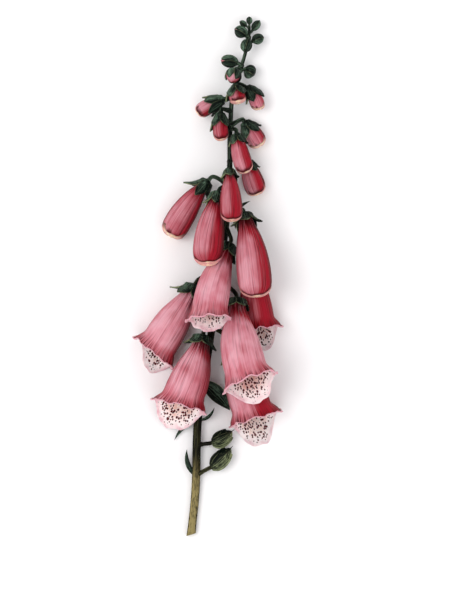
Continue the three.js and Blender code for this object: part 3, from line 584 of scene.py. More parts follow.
def add_blade(tissue, spine, distance, radius, angle, thickness, further):
    """A thin blade round a flower's middle line; a tip of no width stays one point on both sides."""
    inner_distance, inner_radius = inner_skin(distance, radius, thickness)
    if not np.ptp(angle[-1]):
        inner_distance[-1], inner_radius[-1] = inner_distance[-1].mean(), inner_radius[-1].mean()
    marks = spine.marks(distance, radius, angle, ASIDE, further)
    outer = tissue.rows(spine.at(distance, radius, angle), *marks)
    inner = tissue.rows(spine.at(inner_distance, inner_radius, angle, LEAF_FLOOR), *marks)
    tissue.cover(outer, closed=False)
    tissue.cover(inner, closed=False)
    tissue.cover(np.stack([margin(outer), margin(inner)]))


def add_lathe(tissue, spine, distance, radius, angle, slot=0, ends=(0, -1)):
    """A round body over rings along a flower, with a face over the rings named in ends."""
    rings = spine.add_rows(tissue, distance, radius, angle)
    tissue.cover(rings, slot)
    for end in ends:
        tissue.close(rings[end], slot)


def add_tube(
    tissue, centres, radii, sides, offset, slot=0, ribs=0.0, floor=0.0, tint=(0, 0, 0), ends=(0, -1),
):
    """A round stalk along a line of points; returns its places."""
    along = unit(np.gradient(centres, axis=0))
    across = np.empty_like(along)
    last = np.array([1.0, 0.0, 0.0])
    if abs(along[0] @ last) > 0.95:
        last = UP
    for i, direction in enumerate(along):
        last = unit(last - direction * (direction @ last))
        across[i] = last
    other = np.cross(along, across)
    angles = ring(sides)
    distance = walked(centres)[:, None]
    reach = radii[:, None] * (1 + ribs * np.cos(5 * angles + 0.03 * distance))
    first, second = reach * np.cos(angles), reach * np.sin(angles)
    places = centres[:, None] + across[:, None] * first[..., None] + other[:, None] * second[..., None]
    places[..., 2] = np.maximum(places[..., 2], floor)
    away = (places - centres[:, None]) / radii[:, None, None]
    turn = (-away[..., 0], away[..., 2], distance / distance[-1])
    rings = tissue.rows(places, turn, (first, second, distance + offset), tint)
    tissue.cover(rings, slot)
    for end in ends:
        tissue.close(rings[end], slot)
    return tissue.points[-1].reshape(*rings.shape, 3)


# Finishes


class Reading:
    """A value in a finish. A sum or product with it adds the node that works it out."""

    def __init__(self, finish, socket):
        """Takes the finish and the socket that gives the value."""
        self.finish = finish
        self.socket = socket

    def of(self, name):
        """Another output of the same node."""
        return Reading(self.finish, self.socket.node.outputs[name])

    def worked(self, operation, *values):
        """The value of a Math node."""
        return self.finish.node("ShaderNodeMath", {"operation": operation}, dict(enumerate(values)))

    def __add__(self, other):
        return self.worked("ADD", self, other)

    __radd__ = __add__

    def __sub__(self, other):
        return self.worked("SUBTRACT", self, other)

    def __rsub__(self, other):
        return self.worked("SUBTRACT", other, self)

    def __mul__(self, other):
        return self.worked("MULTIPLY", self, other)

    __rmul__ = __mul__

    def __truediv__(self, other):
        return self.worked("DIVIDE", self, other)

    def __rtruediv__(self, other):
        return self.worked("DIVIDE", other, self)

    def __neg__(self):
        return self.worked("MULTIPLY", self, -1.0)

    def __abs__(self):
        return self.worked("ABSOLUTE", self)

    def larger(self, other):
        """The larger of two values."""
        return self.worked("MAXIMUM", self, other)

    def kept(self):
        """The value held between 0 and 1."""
        return self.finish.node("ShaderNodeClamp", {}, {0: self})

    def rise(self, low, high):
        """0 at low, 1 at high and smooth between them; low may be the greater one."""
        settings = {"interpolation_type": "SMOOTHSTEP"}
        return self.finish.node("ShaderNodeMapRange", settings, {0: self, 1: low, 2: high, 3: 0.0, 4: 1.0})


class Finish:
    """A material that is worked out by nodes. Its colour is laid on in layers."""

    def __init__(self, name):
        """Starts a material with no nodes."""
        self.material = bpy.data.materials.new(name)
        self.material.use_nodes = True
        self.nodes = self.material.node_tree.nodes
        self.links = self.material.node_tree.links
        self.nodes.clear()
        self.tones = bpy.context.scene.foxglove_colours
        self.base = None

    def node(self, kind, settings, values, output=0):
        """Adds a node: its settings first, then the values or links of its sockets."""
        made = self.nodes.new(kind)
        for name, value in settings.items():
            setattr(made, name, value)
        for name, value in values.items():
            socket = made.inputs[name]
            if isinstance(value, Reading):
                self.links.new(value.socket, socket)
            elif socket.type == "RGBA" and len(value) == 3:
                socket.default_value = (*value, 1.0)
            else:
                socket.default_value = value
        return Reading(self, made.outputs[output])

    def mark(self, name):
        """One of the marks that a piece carries."""
        settings = {"attribute_type": "GEOMETRY", "attribute_name": name}
        return self.node("ShaderNodeAttribute", settings, {}, "Vector")

    def marks(self):
        """The numbers in the marks turn and tint."""
        return *self.parts(self.mark("turn")), *self.parts(self.mark("tint"))

    def parts(self, vector):
        """The three numbers of a vector."""
        split = self.node("ShaderNodeSeparateXYZ", {}, {0: vector})
        return split.of("X"), split.of("Y"), split.of("Z")

    def scaled(self, x, y, z):
        """The place on the skin, stretched by three numbers."""
        values = {0: self.mark("skin"), 1: (x, y, z)}
        return self.node("ShaderNodeVectorMath", {"operation": "MULTIPLY"}, values)

    def noise(self, vector, detail, scale=1.0):
        """Soft noise between about 0.2 and 0.8."""
        values = {"Vector": vector, "Scale": scale, "Detail": detail, "Roughness": 0.5}
        return self.node("ShaderNodeTexNoise", {}, values)

    def grain(self, x, y, z, detail):
        """Noise over the skin; x, y and z say how fine it is each way."""
        return self.noise(self.scaled(x, y, z), detail)

    def streaks(self, around, stretch, detail):
        """Noise in streaks that run along a flower and draw together at its foot."""
        side, rise, _ = self.parts(self.mark("turn"))
        _, _, along = self.parts(self.mark("skin"))
        values = {0: side * around, 1: rise * around, 2: along * stretch}
        return self.noise(self.node("ShaderNodeCombineXYZ", {}, values), detail)

    def tone(self, name):
        """A colour of the flower by its name; one that is worked out already is passed on."""
        return name if isinstance(name, Reading) else getattr(self.tones, name)

    def mix(self, factor, first, second):
        """A colour between two."""
        settings = {"data_type": "RGBA", "blend_type": "MIX", "clamp_factor": True}
        values = {0: factor, 6: self.tone(first), 7: self.tone(second)}
        return self.node("ShaderNodeMix", settings, values, 2)

    def lay(self, factor, tone):
        """Lays a colour over what is there, as thickly as the factor says."""
        self.base = self.mix(factor, self.base, tone)

    def shade(self, rough, height, depth, strength=1.0, **constant):
        """Ends the material in its shader. depth, in metres, is the relief that the height stands for."""
        values = {"Height": height, "Distance": depth, "Strength": strength}
        normal = self.node("ShaderNodeBump", {}, values)
        values = {"Base Color": self.base, "Roughness": rough, "Normal": normal}
        values.update({name.replace("_", " "): value for name, value in constant.items()})
        shader = self.node("ShaderNodeBsdfPrincipled", {}, values)
        output = self.nodes.new("ShaderNodeOutputMaterial")
        self.links.new(shader.socket, output.inputs["Surface"])


PETAL_SHADER = {
    "Specular_IOR_Level": 0.1, "Sheen_Weight": 0.02, "Sheen_Roughness": 0.4,
    "Subsurface_Weight": 0.35, "Subsurface_Scale": 0.0015, "Subsurface_Radius": (1.0, 0.5, 0.5),
}
GREEN_SHADER = {"Specular_IOR_Level": 0.07, "Coat_Weight": 0.02, "Coat_Roughness": 0.35}


def petal_outside(skin, shut):
    """The rose skin of a bell: pale rose with painted shade in crimson and wine down its right side,
    streaked from the calyx.
    """
    _, _, share, crimson, wine, edge = skin.marks()
    hairs = skin.streaks(32.0, 0.12, 2)
    fine = skin.streaks(16.0, 0.07, 3)
    broad = skin.streaks(6.5, 0.03, 2)
    course = skin.streaks(4.2, 0.022, 1)
    cloud = skin.grain(0.13, 0.13, 0.1, 2)
    tone = (cloud - 0.5) * 3.0 + (broad - 0.5) * 1.0 + (fine - 0.5) * 0.6 + 0.42
    skin.base = skin.mix(tone.kept(), "pale", "rose")
    grey = (0.5 - cloud) * 1.6 + (0.5 - fine) * 1.0
    skin.lay(grey.kept() * 0.45, "blush")
    foot = share.rise(0.42, 0.1) * 1.1 + 0.35
    streaks = ((fine - 0.5) * 1.5 + (broad - 0.5) * 0.8 + (hairs - 0.5) * 0.5) * foot
    # Crimson and wine as the marks carry them: the bell's own colour with its painted shade.
    skin.lay((crimson + streaks).rise(0.0, 0.95), "crimson")
    skin.lay((wine + streaks).rise(0.1, 0.8) * 0.9, "wine")
    vein = abs(course - 0.5).rise(0.034, 0.008) * broad.rise(0.36, 0.52)
    skin.lay(vein * (share.rise(0.65, 0.2) * 0.3 + crimson.kept() * 0.4 + 0.18), "wine")
    # Pale dashes in the crimson near the foot: a painted glint.
    skin.lay(fine.rise(0.42, 0.34) * share.rise(0.4, 0.2) * crimson.kept() * 0.5, "pale")
    if shut:
        # A wine line at the hood's margin: the margin's colour with painted shadow in the crevice of the
        # fold.
        skin.lay(edge.rise(0.62, 0.86) * 0.92, "wine")
    else:
        # Dark strokes above the rim: the bell's own strokes with painted shade under the rolled rim.
        strokes = edge.rise(0.7, 0.95) * edge.rise(0.985, 0.96) * (hairs + fine * 0.4).rise(0.6, 0.82)
        skin.lay(strokes * 0.85, "wine")
        # A darker band on the turn of the rolled rim: painted shadow of the roll.
        painted_rim_shadow = edge.rise(0.945, 0.96) * edge.rise(0.975, 0.962) * hairs.rise(0.25, 0.5)
        skin.lay(painted_rim_shadow * 0.7, "wine")
        skin.lay(edge.rise(0.968, 0.985) * 0.8, "lip")
        skin.lay(edge.rise(0.98, 1.0) * hairs.rise(0.35, 0.6) * 0.6, "rose")
    height = fine * 0.6 + broad * 0.25 + hairs * 0.15
    skin.shade(0.46 + (cloud - 0.5) * 0.2, height, 0.0004, **PETAL_SHADER)


def petal_inside(skin):
    """The inside of a bell: rose above, near white below with maroon spots in pale rings."""
    side, rise, share, _, _, edge = skin.marks()
    cloud = skin.grain(0.25, 0.25, 0.2, 2)
    fine = skin.grain(1.8, 1.8, 0.12, 2)
    lower = (-rise + (cloud - 0.5) * 0.4).rise(-0.25, 0.4)
    skin.base = skin.mix(lower, "blush", "lip")
    warm = edge.rise(0.88, 0.58) * (cloud + 0.1).kept() * 0.85
    skin.lay(warm * lower, "throat")
    skin.lay(share.rise(0.7, 0.25) * 0.45, "rose")
    # Blush towards the sides of the lower lip: painted shade in its folds.
    skin.lay((abs(side) + (cloud - 0.5) * 0.5).rise(0.7, 1.0) * edge.rise(0.7, 0.9) * 0.55, "blush")
    rim = edge.rise(0.82, 1.0) * ((cloud - 0.3).kept() * 1.8 + 0.12)
    skin.lay(rim + (cloud - 0.44).kept() * 0.7, "blush")
    cells = {"Vector": skin.scaled(0.95, 0.95, 0.72), "Scale": 1.0, "Randomness": 0.9}
    found = skin.node("ShaderNodeTexVoronoi", {"voronoi_dimensions": "3D"}, cells)
    chance, grade, _ = skin.parts(found.of("Color"))
    there = lower * edge.rise(0.985, 0.92) * share.rise(0.3, 0.5)
    near = found.of("Distance")
    reach = 0.205 + edge.rise(0.98, 0.74) * 0.245 + (grade - 0.5) * 0.2 + (fine - 0.5) * 0.22
    spots = (reach - near).rise(-0.03, 0.06) * (chance + edge.rise(0.96, 0.76) * 0.5).rise(0.3, 0.38)
    skin.lay((near - reach).rise(0.28, 0.08) * there * 0.6, "lip")
    skin.lay(spots * there, "spot")
    skin.shade(0.5, fine, 0.0002, **PETAL_SHADER)


def shut_lip(skin):
    """The cream lip that shows under the folded hood of a shut bloom."""
    side, rise, share, _, _, edge = skin.marks()
    fine = skin.grain(1.6, 1.6, 1.6, 3)
    folds = skin.grain(0.9, 0.9, 0.2, 1)
    skin.base = skin.mix(folds.rise(0.4, 0.7) * 0.7, "cream", "blush")
    skin.lay((share + (folds - 0.5) * 0.4).rise(0.62, 0.95) * rise.rise(0.3, -0.3), "rose")
    skin.lay(abs(side).rise(0.55, 0.95) * 0.6, "rose")
    # A wine line where the lip meets the hood: the lip's colour there with painted shadow in the crevice of
    # the fold.
    skin.lay(edge.rise(0.12, 0.0) * 0.85, "wine")
    skin.shade(0.5, fine, 0.0002, **PETAL_SHADER)


def green_skin(skin, light, pale_margin, sunlit):
    """Dark blue-green skin with painted light in a paler tone on its lit side, veins along it and a pale
    margin.
    """
    side, rise, _, _, _, edge = skin.marks()
    lines = skin.grain(1.7, 1.7, 0.22, 3)
    cloud = skin.grain(0.4, 0.4, 0.3, 2)
    # Painted light: paler towards the lit left and upper side, broken by patches and veins.
    streaks_and_painted_light = (side * 0.75 + rise * 0.35 + (cloud - 0.5) * 1.5 + (lines - 0.5) * 1.5).rise(0.3, 1.35)
    skin.base = skin.mix(streaks_and_painted_light * light, "leaf", sunlit)
    # Veins in the lit colour; the loose ones show more on the lit side, as painted light.
    veins = lines.rise(0.54, 0.64) * (side * 0.5 + cloud).kept() * 0.45
    midrib = abs(edge).rise(0.1, 0.02) * 0.4
    side_veins = (abs(edge - 0.34) + (lines - 0.5) * 0.1).rise(0.05, 0.01) * 0.25
    skin.lay(veins.larger(midrib).larger(side_veins), sunlit)
    skin.lay(edge.rise(0.5, 0.85) * 0.75, "leaf")
    # The pale margin, shown more on the lit side as painted light.
    rim = edge.rise(0.9, 0.98) * (cloud + side * 0.25 - 0.3).kept() * 2.2
    skin.lay(rim * pale_margin, "margin")
    skin.shade(0.42 + cloud * 0.2, lines * 0.6 + cloud * 0.4, 0.0003, **GREEN_SHADER)


def stem_skin(skin):
    """Dark olive bark with lighter streaks and painted shade along both sides, tan towards the cut and
    greener towards the tip.
    """
    side, _, _, flower_stalk, _, _ = skin.marks()
    _, along, _ = skin.parts(skin.node("ShaderNodeTexCoord", {}, {}, "Object"))
    lines = skin.grain(2.2, 2.2, 0.1, 3)
    cloud = skin.grain(0.3, 0.3, 0.08, 2)
    speck = skin.grain(1.4, 1.4, 0.6, 2)
    streak = (lines - 0.5) * 3.0
    # Painted shade: darker towards both sides of the stem as it lies.
    margins = abs(side).rise(0.55, 1.0)
    streaks_and_painted_light = (streak + (cloud - 0.5) * 1.6 - margins * 0.8 + 0.3).rise(0.1, 1.0)
    skin.base = skin.mix(streaks_and_painted_light * 0.32, "bark", "olive")
    skin.lay(along.rise(0.0, 0.05) * 0.8, skin.mix(streaks_and_painted_light * 0.6, "leaf", "bloom"))
    low = along.rise(-0.08, -0.107) * (1 - flower_stalk)
    # The tan is thinner at the sides as painted shade and a little fuller on the left as painted light.
    old = 1.05 + streak * 0.7 - margins * 0.7 + side * 0.15 + (cloud - 0.5) * 1.6 + (speck - 0.5) * 3.0
    skin.lay((low * old).kept() * 0.95, "tan")
    skin.shade(0.5 + cloud * 0.15, lines * 0.7 + cloud * 0.3, 0.0003, **GREEN_SHADER)


def plain_tissue(skin, first, second, scale, rough):
    """A soft two-toned tissue with a fine grain."""
    grain = skin.grain(scale, scale, scale, 3)
    skin.base = skin.mix(grain.rise(0.35, 0.65), first, second)
    skin.shade(rough, grain, 0.0002, Specular_IOR_Level=0.3)


def plain_surface(skin):
    """The plain pale surface that the spike lies on."""
    grain = skin.noise(skin.node("ShaderNodeTexCoord", {}, {}, "Object"), 4, 160.0)
    skin.base = skin.mix(grain * 0.01, "paper", "blush")
    skin.shade(0.9, grain, 0.0001, 0.3, Specular_IOR_Level=0.1)


# Each finish: how it is made, and with which values

FINISHES = {
    "bell outside": (petal_outside, False),
    "shut outside": (petal_outside, True),
    "bell inside": (petal_inside,),
    "shut lip": (shut_lip,),
    "sepal": (green_skin, 0.55, 0.6, "bloom"),
    "bud green": (green_skin, 0.85, 0.8, "bloom"),
    "pod green": (green_skin, 1.0, 1.0, "margin"),
    "stem": (stem_skin,),
    "cut face": (plain_tissue, "cut", "olive", 2.0, 0.7),
    "filament": (plain_tissue, "filament", "blush", 1.0, 0.5),
    "pollen": (plain_tissue, "pollen", "throat", 2.5, 0.8),
    "style": (plain_tissue, "style", "filament", 1.0, 0.5),
    "down": (plain_tissue, "down", "bloom", 1.0, 0.6),
    "lip hair": (plain_tissue, "lip", "blush", 1.0, 0.5),
    "surface": (plain_surface,),
}


def finish_of(name):
    """A finish of the flower, made when it is first asked for."""
    found = bpy.data.materials.get(name)
    if found:
        return found
    skin = Finish(name)
    maker, *values = FINISHES[name]
    maker(skin, *values)
    return skin.material


# Flower parts


def add_calyx(tissue, spine):
    """The green cup, and five pointed sepals of which each lies over its neighbour by one side."""
    flower, draws, thickness = spine.flower, spine.draws, size_of("sepal")
    foot = float(spine.radius_at(COROLLA_START))
    distance, share, more = np.array(CUP).T[..., None]
    angle = ring(40)
    add_lathe(tissue, spine, distance, (foot * share + more) * (1 + 0.03 * np.cos(SEPALS * angle)), angle)
    width = (foot + 1.4) * 0.66 * flower["broad"]
    start = (2 * flower["turned"] - 1) * SECTOR
    rows = shares(26)
    for k in range(SEPALS):
        middle = start + (2 * k + 1) * SECTOR
        tip = flower["sepal"] * (1 + draws.uniform(-0.05, 0.07))
        distance = 1.0 + (tip - 1.0) * rows + 0 * ACROSS
        share = np.clip((distance - NOTCH_DISTANCE) / (tip - NOTCH_DISTANCE), 0, 1)
        radius = spine.radius_at(distance) + 0.5 + thickness + flower["spread"] * share**1.6
        radius = radius + 0.2 * (1 - ASIDE) ** 2 * step(share, 0, 0.3)
        radius = radius + 0.1 * ACROSS + 0.35 * step(share, 0.7, 1.0)
        radius = radius + 0.08 * np.sin(9 * share + draws.uniform(0, 6)) * ASIDE
        radius = radius - step(rows, 0.25, 0.0) * 0.5
        half = np.minimum(width * through(SEPAL_OUTLINE, share) / radius, SECTOR * 1.12)
        angle = middle + half * ACROSS + draws.uniform(-0.08, 0.08) * share**2
        add_blade(tissue, spine, distance, radius, angle, thickness, 13 * k)
        places = spine.at(distance, radius, angle)[1:]
        outward = unit(places - spine.at(distance, 0, angle)[1:])
        weight = 0.6 + ASIDE ** 3
        add_down(tissue, places, outward, weight, SEPAL_HAIRS, size_of("hair"), draws, 1, closed=False)


def add_bell(tissue, spine):
    """An open bell: its walls, its lobed mouth and the rolled rim."""
    flower = spine.flower
    angle = ring(BELL_COLUMNS, -math.pi)
    share = np.concatenate([np.linspace(0, 0.8, 30), np.linspace(0.82, 1, 16)])[:, None]
    below = (1 - np.cos(angle)) / 2
    phases = spine.draws.uniform(0, 2 * math.pi, 8)
    away = np.mod(angle + flower["lean"], 2 * math.pi) - math.pi
    tongue = np.exp(-(np.abs(away / flower["tongue"]) ** 3))
    reach = flower["lip"] * tongue + flower["hood"] * (1 - below) ** 1.6
    for middle, width, height in LOBES:
        reach = reach + height * np.exp(-(((np.abs(angle) - middle) / width) ** 2))
    reach = reach + flower["slant"] * np.sin(angle)
    reach = reach + size_of("ripple") * waves(angle, (9, 14, 23), (0.6, 0.4, 0.25), phases)
    distance = spine.corolla(share) + reach * step(share, 0.55, 1)
    belly = 1 - 0.05 * np.sin(math.pi * share) * np.cos(angle)
    flare = flower["flare"] * (1.4 * below + 0.9 * np.sin(angle) ** 4)
    radius = spine.girth(share) * belly + flare * step(share, 0.84, 1)
    pleats = waves(angle, (5, 10, 17), (1.0, 0.7, 0.5), phases[3:])
    pleats = pleats * step(share, 0.0, 0.12) * step(share, 0.6, 0.15)
    fine = waves(angle, (29, 43), (0.35, 0.25), phases[5:]) * step(share, 0.1, 0.3)
    radius = radius + size_of("rib") * (pleats * 1.3 + fine)
    radius = radius + 0.25 * waves(angle, (7, 12), (0.8, 0.6), phases[2:]) * step(share, 0.8, 1)

    # the rim rolls back on a small radius
    back = math.radians(115) - math.radians(60) * below**2
    turn = np.arctan2(radius[-1:] - radius[-2:-1], distance[-1:] - distance[-2:-1])
    length = size_of("roll") * back
    for k in range(ROLL_ROWS):
        way = turn + back * (k + 0.5) / ROLL_ROWS
        distance = np.concatenate([distance, distance[-1:] + np.cos(way) * length / ROLL_ROWS])
        radius = np.concatenate([radius, radius[-1:] + np.sin(way) * length / ROLL_ROWS])
    share = np.concatenate([share, np.ones((ROLL_ROWS, 1))]) + 0 * angle
    angle = angle + 0 * distance
    steps = np.hypot(np.diff(distance, axis=0), np.diff(radius, axis=0))
    run = np.concatenate([np.zeros((1, steps.shape[1])), np.cumsum(steps, axis=0)])
    edge = 1 - np.clip((run[-1:] - run) / RIM_BAND, 0, 1)
    thickness = size_of("petal") + (size_of("rim") - size_of("petal")) * step(share, 0.5, 1)
    inner_distance, inner_radius = inner_skin(distance, radius, thickness)

    marks = spine.marks(distance, radius, angle, edge)
    places = spine.at(inner_distance, inner_radius, angle, BELL_FLOOR)
    outer = tissue.rows(spine.at(distance, radius, angle), *marks)
    inner = tissue.rows(places, *marks)
    tissue.cover(outer)
    tissue.cover(inner, 1)
    tissue.cover(np.stack([outer[0], inner[0]]))
    tissue.cover(np.stack([outer[-1], inner[-1]]), 1)
    inward = unit(spine.at(inner_distance - 0.6 * inner_radius, 0, angle) - places)
    weight = step(below, 0.6, 0.9) * step(share, 0.5, 0.8) * step(edge, 0.97, 0.9)
    add_down(tissue, places, inward, weight, LIP_HAIRS, 2.2 * size_of("hair"), spine.draws, 2)


def add_stamens(tissue, spine):
    """Four bowed filaments from one ring, each with a pair of pollen sacs."""
    throat = float(spine.radius_at(COROLLA_START)) - 0.75
    angle = ring(32)
    distance = np.array([2.0, 2.9, 2.9, 2.0])[:, None]
    radius = throat - np.array([0.6, 0.6, 1.2, 1.2])[:, None]
    rings = spine.add_rows(tissue, distance, radius, angle)
    tissue.cover(np.concatenate([rings, rings[:1]]))
    for turn, reach in FILAMENTS:
        share = np.linspace(0, reach, 24)
        along = COROLLA_START + FILAMENT_RISE + (spine.length - COROLLA_START - FILAMENT_RISE) * share
        bowed = step(share, -0.02, 0.16)
        hold = spine.radius_at(along) * 0.52 * bowed + (throat - 0.9) * (1 - bowed)
        line = spine.at(along, hold, turn * (1 - 0.55 * share))
        add_tube(tissue, line, 0.32 - 0.1 * share / reach, 10, spine.offset, floor=STAMEN_FLOOR)
        ahead = unit(line[-1] - line[-2])
        cross = unit(np.cross(ahead, UP))
        for way in (-1, 1):
            lean = unit(ahead * 0.8 + cross * way * 0.75)
            sac = np.linspace(-1, 1, 12)
            centres = line[-1] + cross * way * 0.5 + lean * (sac * 0.95)[:, None] + ahead * 0.2
            girth = 0.05 + 0.5 * np.sqrt(np.clip(1 - sac**2, 0, 1))
            add_tube(tissue, centres, girth, 12, spine.offset, 1, floor=STAMEN_FLOOR)


def add_pistil(tissue, spine):
    """A pointed ovary and the style that bends under the upper lip to a forked tip."""
    share = np.linspace(0, STYLE_RADIUS[-1][0], 44)
    along = spine.corolla(share)
    line = spine.at(along, spine.radius_at(along) * through(STYLE_LIFT, share), 0)
    add_tube(tissue, line, through(STYLE_RADIUS, share), 14, spine.offset)
    ahead = unit(line[-1] - line[-2])
    fork = shares(7)
    for way in (-1, 1):
        reach = line[-1] - ahead * 0.1 + ahead * fork * 1.1 + UP * 0.35 * way * fork**2
        add_tube(tissue, reach, 0.24 * (1 - 0.7 * fork[:, 0]), 10, spine.offset)


def hood_margin(spine, dome, radius, angle):
    """Where the hood of a shut bloom ends on its rounded tip, as a share of the way to the pole.

    The margin runs across the tip so far up that a band of the lip shows from above.
    """
    tilt = math.asin(float(unit(spine.at(spine.length, 0, 0) - spine.at(spine.length - 1, 0, 0))[2]))
    heights = np.linspace(0.95, -0.95, 191)
    ahead = dome * np.sqrt(1 - heights**2) * math.cos(tilt) - radius * heights * math.sin(tilt)
    furthest = np.argmax(ahead)
    hidden = ahead[:furthest + 1] > ahead[furthest] - spine.flower["band"] * radius
    start = heights[:furthest + 1][np.argmax(hidden)]
    part = shares(161)
    x = part * np.sin(angle)
    y = part * np.cos(angle) - POLE_DROP * (1 - part**2)
    over = y - (start - 0.3 * x**2 + 0.04 * np.cos(7.0 * x + 0.6) * (1 - x**2))
    first = np.argmax(over >= 0, axis=0)
    columns = np.arange(angle.size)
    before = np.maximum(first - 1, 0)
    low, high = over[before, columns], over[first, columns]
    between = np.where(high > low, -low / np.maximum(high - low, 1e-9), 0)
    found = part[before, 0] + np.clip(between, 0, 1) * (part[first, 0] - part[before, 0])
    return np.where(over[-1] < 0, 1.0, found)[None, :]


def add_shut_bell(tissue, spine):
    """A shut bloom: its hood is folded over the pale lower lip on the rounded tip."""
    flower = spine.flower
    angle = ring(SHUT_COLUMNS, -math.pi)
    phases = spine.draws.uniform(0, 2 * math.pi, 6)
    small = flower["radius"] / 8
    share = flower["blunt"] * shares(40)
    grooves = waves(angle, (5, 9, 16), (1.0, 0.6, 0.4), phases) * step(share, 0.02, 0.2)
    radius = spine.girth(share) + small * 0.2 * grooves
    if "crease" in flower:
        fold = np.exp(-(((angle - flower["crease"]) / 0.1) ** 2)) * step(share, 0.2, 0.6)
        radius = radius - size_of("fold") * small * fold
    distance = spine.corolla(share) + 0 * angle
    tube = spine.add_rows(tissue, distance, radius, angle, 0)
    tissue.cover(tube)
    tissue.close(tube[0])

    start, rim = distance[-1:], radius[-1:]
    dome = spine.corolla(1) - start

    def on_tip(part, lift):
        """Places on the tip: part runs from its rim at 1 to the pole, lift stands off it."""
        x = part * np.sin(angle)
        y = part * np.cos(angle) - POLE_DROP * (1 - part**2)
        out = np.minimum(np.hypot(x, y), 1)
        ahead = start + dome * (1 - out**2.3) ** 0.5 + lift * np.sqrt(1 - out**2)
        x = x * (rim + lift * out)
        y = y * (rim + lift * out)
        return ahead, np.hypot(x, y), np.arctan2(x, y)

    margin_at = hood_margin(spine, float(dome.mean()), float(rim.mean()), angle)
    there = step(1 - margin_at, 0.0, 0.12)
    t = shares(16)[1:]
    roll = 0.2 * small * step(t, 0.5, 0.85) * there
    spot = on_tip(1 + (margin_at - 1) * t, roll)
    edge = 1 - np.clip((1 - t) * (1 - margin_at) * rim / FOLD_BAND, 0, 1) * there - (1 - there)
    hood = spine.add_rows(tissue, *spot, edge)
    tissue.cover(np.concatenate([tube[-1:], hood]))

    t = shares(16)
    sink = -0.7 * small * there * (1 - 0.7 * step(t, 0.0, 0.8))
    pucker = 0.16 * small * np.cos(5 * angle + phases[0]) * np.sin(math.pi * t)
    ahead, out, turn = on_tip(margin_at * (1 - t), sink + pucker)
    ahead[-1], out[-1], turn[-1] = ahead[-1].mean(), out[-1].mean(), math.pi
    _, skin, tint = spine.marks(ahead, out, turn, t)
    turned = (np.sin(turn), np.cos(turn), margin_at * (1 - t))
    lip = tissue.rows(spine.at(ahead, out, turn), turned, skin, tint)
    tissue.cover(np.concatenate([hood[-1:], lip]), 1)


def add_bud(tissue, spine):
    """A tip bud: five sepals folded over each other round a small core."""
    wide, gape = spine.flower["radius"], spine.flower["gape"]
    share, angle = shares(22), ring(36)
    core = spine.girth(share) * (0.86 + 0.02 * np.cos(5 * angle))
    add_lathe(tissue, spine, spine.length * (0.02 + 0.95 * share), core, angle, 1, ends=(0,))
    rows = shares(24)
    reach = 1 - 0.16 * gape
    for k in range(SEPALS):
        middle = (2 * k + 1) * SECTOR + spine.draws.uniform(-0.1, 0.1)
        along = spine.length * rows * reach * (1 + spine.draws.uniform(-0.02, 0.01)) + 0 * ACROSS
        share = np.clip(along / spine.length, 0, 1)
        keel = 0.06 * wide * (1 - ASIDE) ** 1.5 * step(share, 0.05, 0.3) * (1 - rows**9)
        radius = np.maximum(spine.girth(share), 0.12) + keel + 0.035 * wide * ACROSS * (1 - rows**4)
        radius = radius + gape * 0.14 * wide * rows**3
        half = SECTOR * 1.25 * (1 - gape * 0.75 * rows**2.2) * np.sqrt(1 - rows**9)
        add_blade(tissue, spine, along, radius, middle + half * ACROSS, size_of("sepal") * 0.55, 7 * k)


def add_pod(tissue, spine):
    """A seed pod: a pointed capsule, the sepals that stayed on it and the dry style."""
    share, angle = shares(30), ring(60)
    groove = 0.07 * np.exp(-(((np.abs(np.mod(angle + 0.3, math.pi) - math.pi / 2)) / 0.16) ** 2))
    body = spine.girth(share) * (0.96 - groove * np.sin(math.pi * share))
    add_lathe(tissue, spine, spine.length * share, body, angle, ends=(0,))
    rows = shares(24)
    for k in range(SEPALS):
        middle = 2 * k * SECTOR + spine.draws.uniform(-0.06, 0.06)
        along = spine.length * rows * (0.86 + spine.draws.uniform(-0.05, 0.05)) + 0 * ACROSS
        radius = spine.girth(np.clip(along / spine.length, 0, 1))
        radius = radius + 0.22 + 0.24 * (1 - ASIDE) ** 1.4 + 0.06 * ACROSS + 0.3 * rows**5
        width = spine.flower["radius"] * 0.62 * through(SEPAL_OUTLINE, rows)
        half = np.minimum(width / radius, SECTOR * 1.02)
        add_blade(tissue, spine, along, radius, middle + half * ACROSS, size_of("sepal"), 9 * k)
    reach = np.linspace(0, 1, 8)
    line = spine.at(spine.length * 0.96 + 2.0 * reach, 0.25 * reach**2, 0.6)
    add_tube(tissue, line, 0.28 * (1 - 0.75 * reach), 10, spine.offset, 2)


def stalk_line(height):
    """Centre and radius of the stalk at heights along the spike."""
    marks = np.array(STALK)
    x, z, radius = (through(marks[:, (1, k)], height) for k in (0, 2, 3))
    return np.stack([x, np.asarray(height, float), z], -1), radius


def add_stalk(tissue, draws):
    """The stalk with its ribs, its hairs and the slanted cut."""
    centre, radius = stalk_line(np.linspace(STALK[0][1], STALK[-1][1], 170))
    points = add_tube(tissue, centre, radius, 30, 0.0, ribs=0.045, ends=(-1,))
    for i in range(SLANTED_RINGS):
        lean = 1 - i / SLANTED_RINGS
        points[i, :, 1] += CUT_SLANT * lean * (points[i, :, 0] - centre[i, 0])
    inward, dish = np.array(CUT_FACE).T[..., None, None]
    middle = points[0].mean(axis=0)
    places = middle + (points[0][None] - middle) * inward + dish * np.array([0.0, 1.0, 0.0])
    face = tissue.rows(places, (0.3, 0.3, 0), (places[..., 0] * 3, places[..., 2] * 3, 0))
    tissue.cover(face, 1)
    bark = points[SLANTED_RINGS:]
    outward = unit(bark - centre[SLANTED_RINGS:, None])
    add_down(tissue, bark, outward, 1.0, STALK_HAIRS, size_of("hair"), draws, 3)


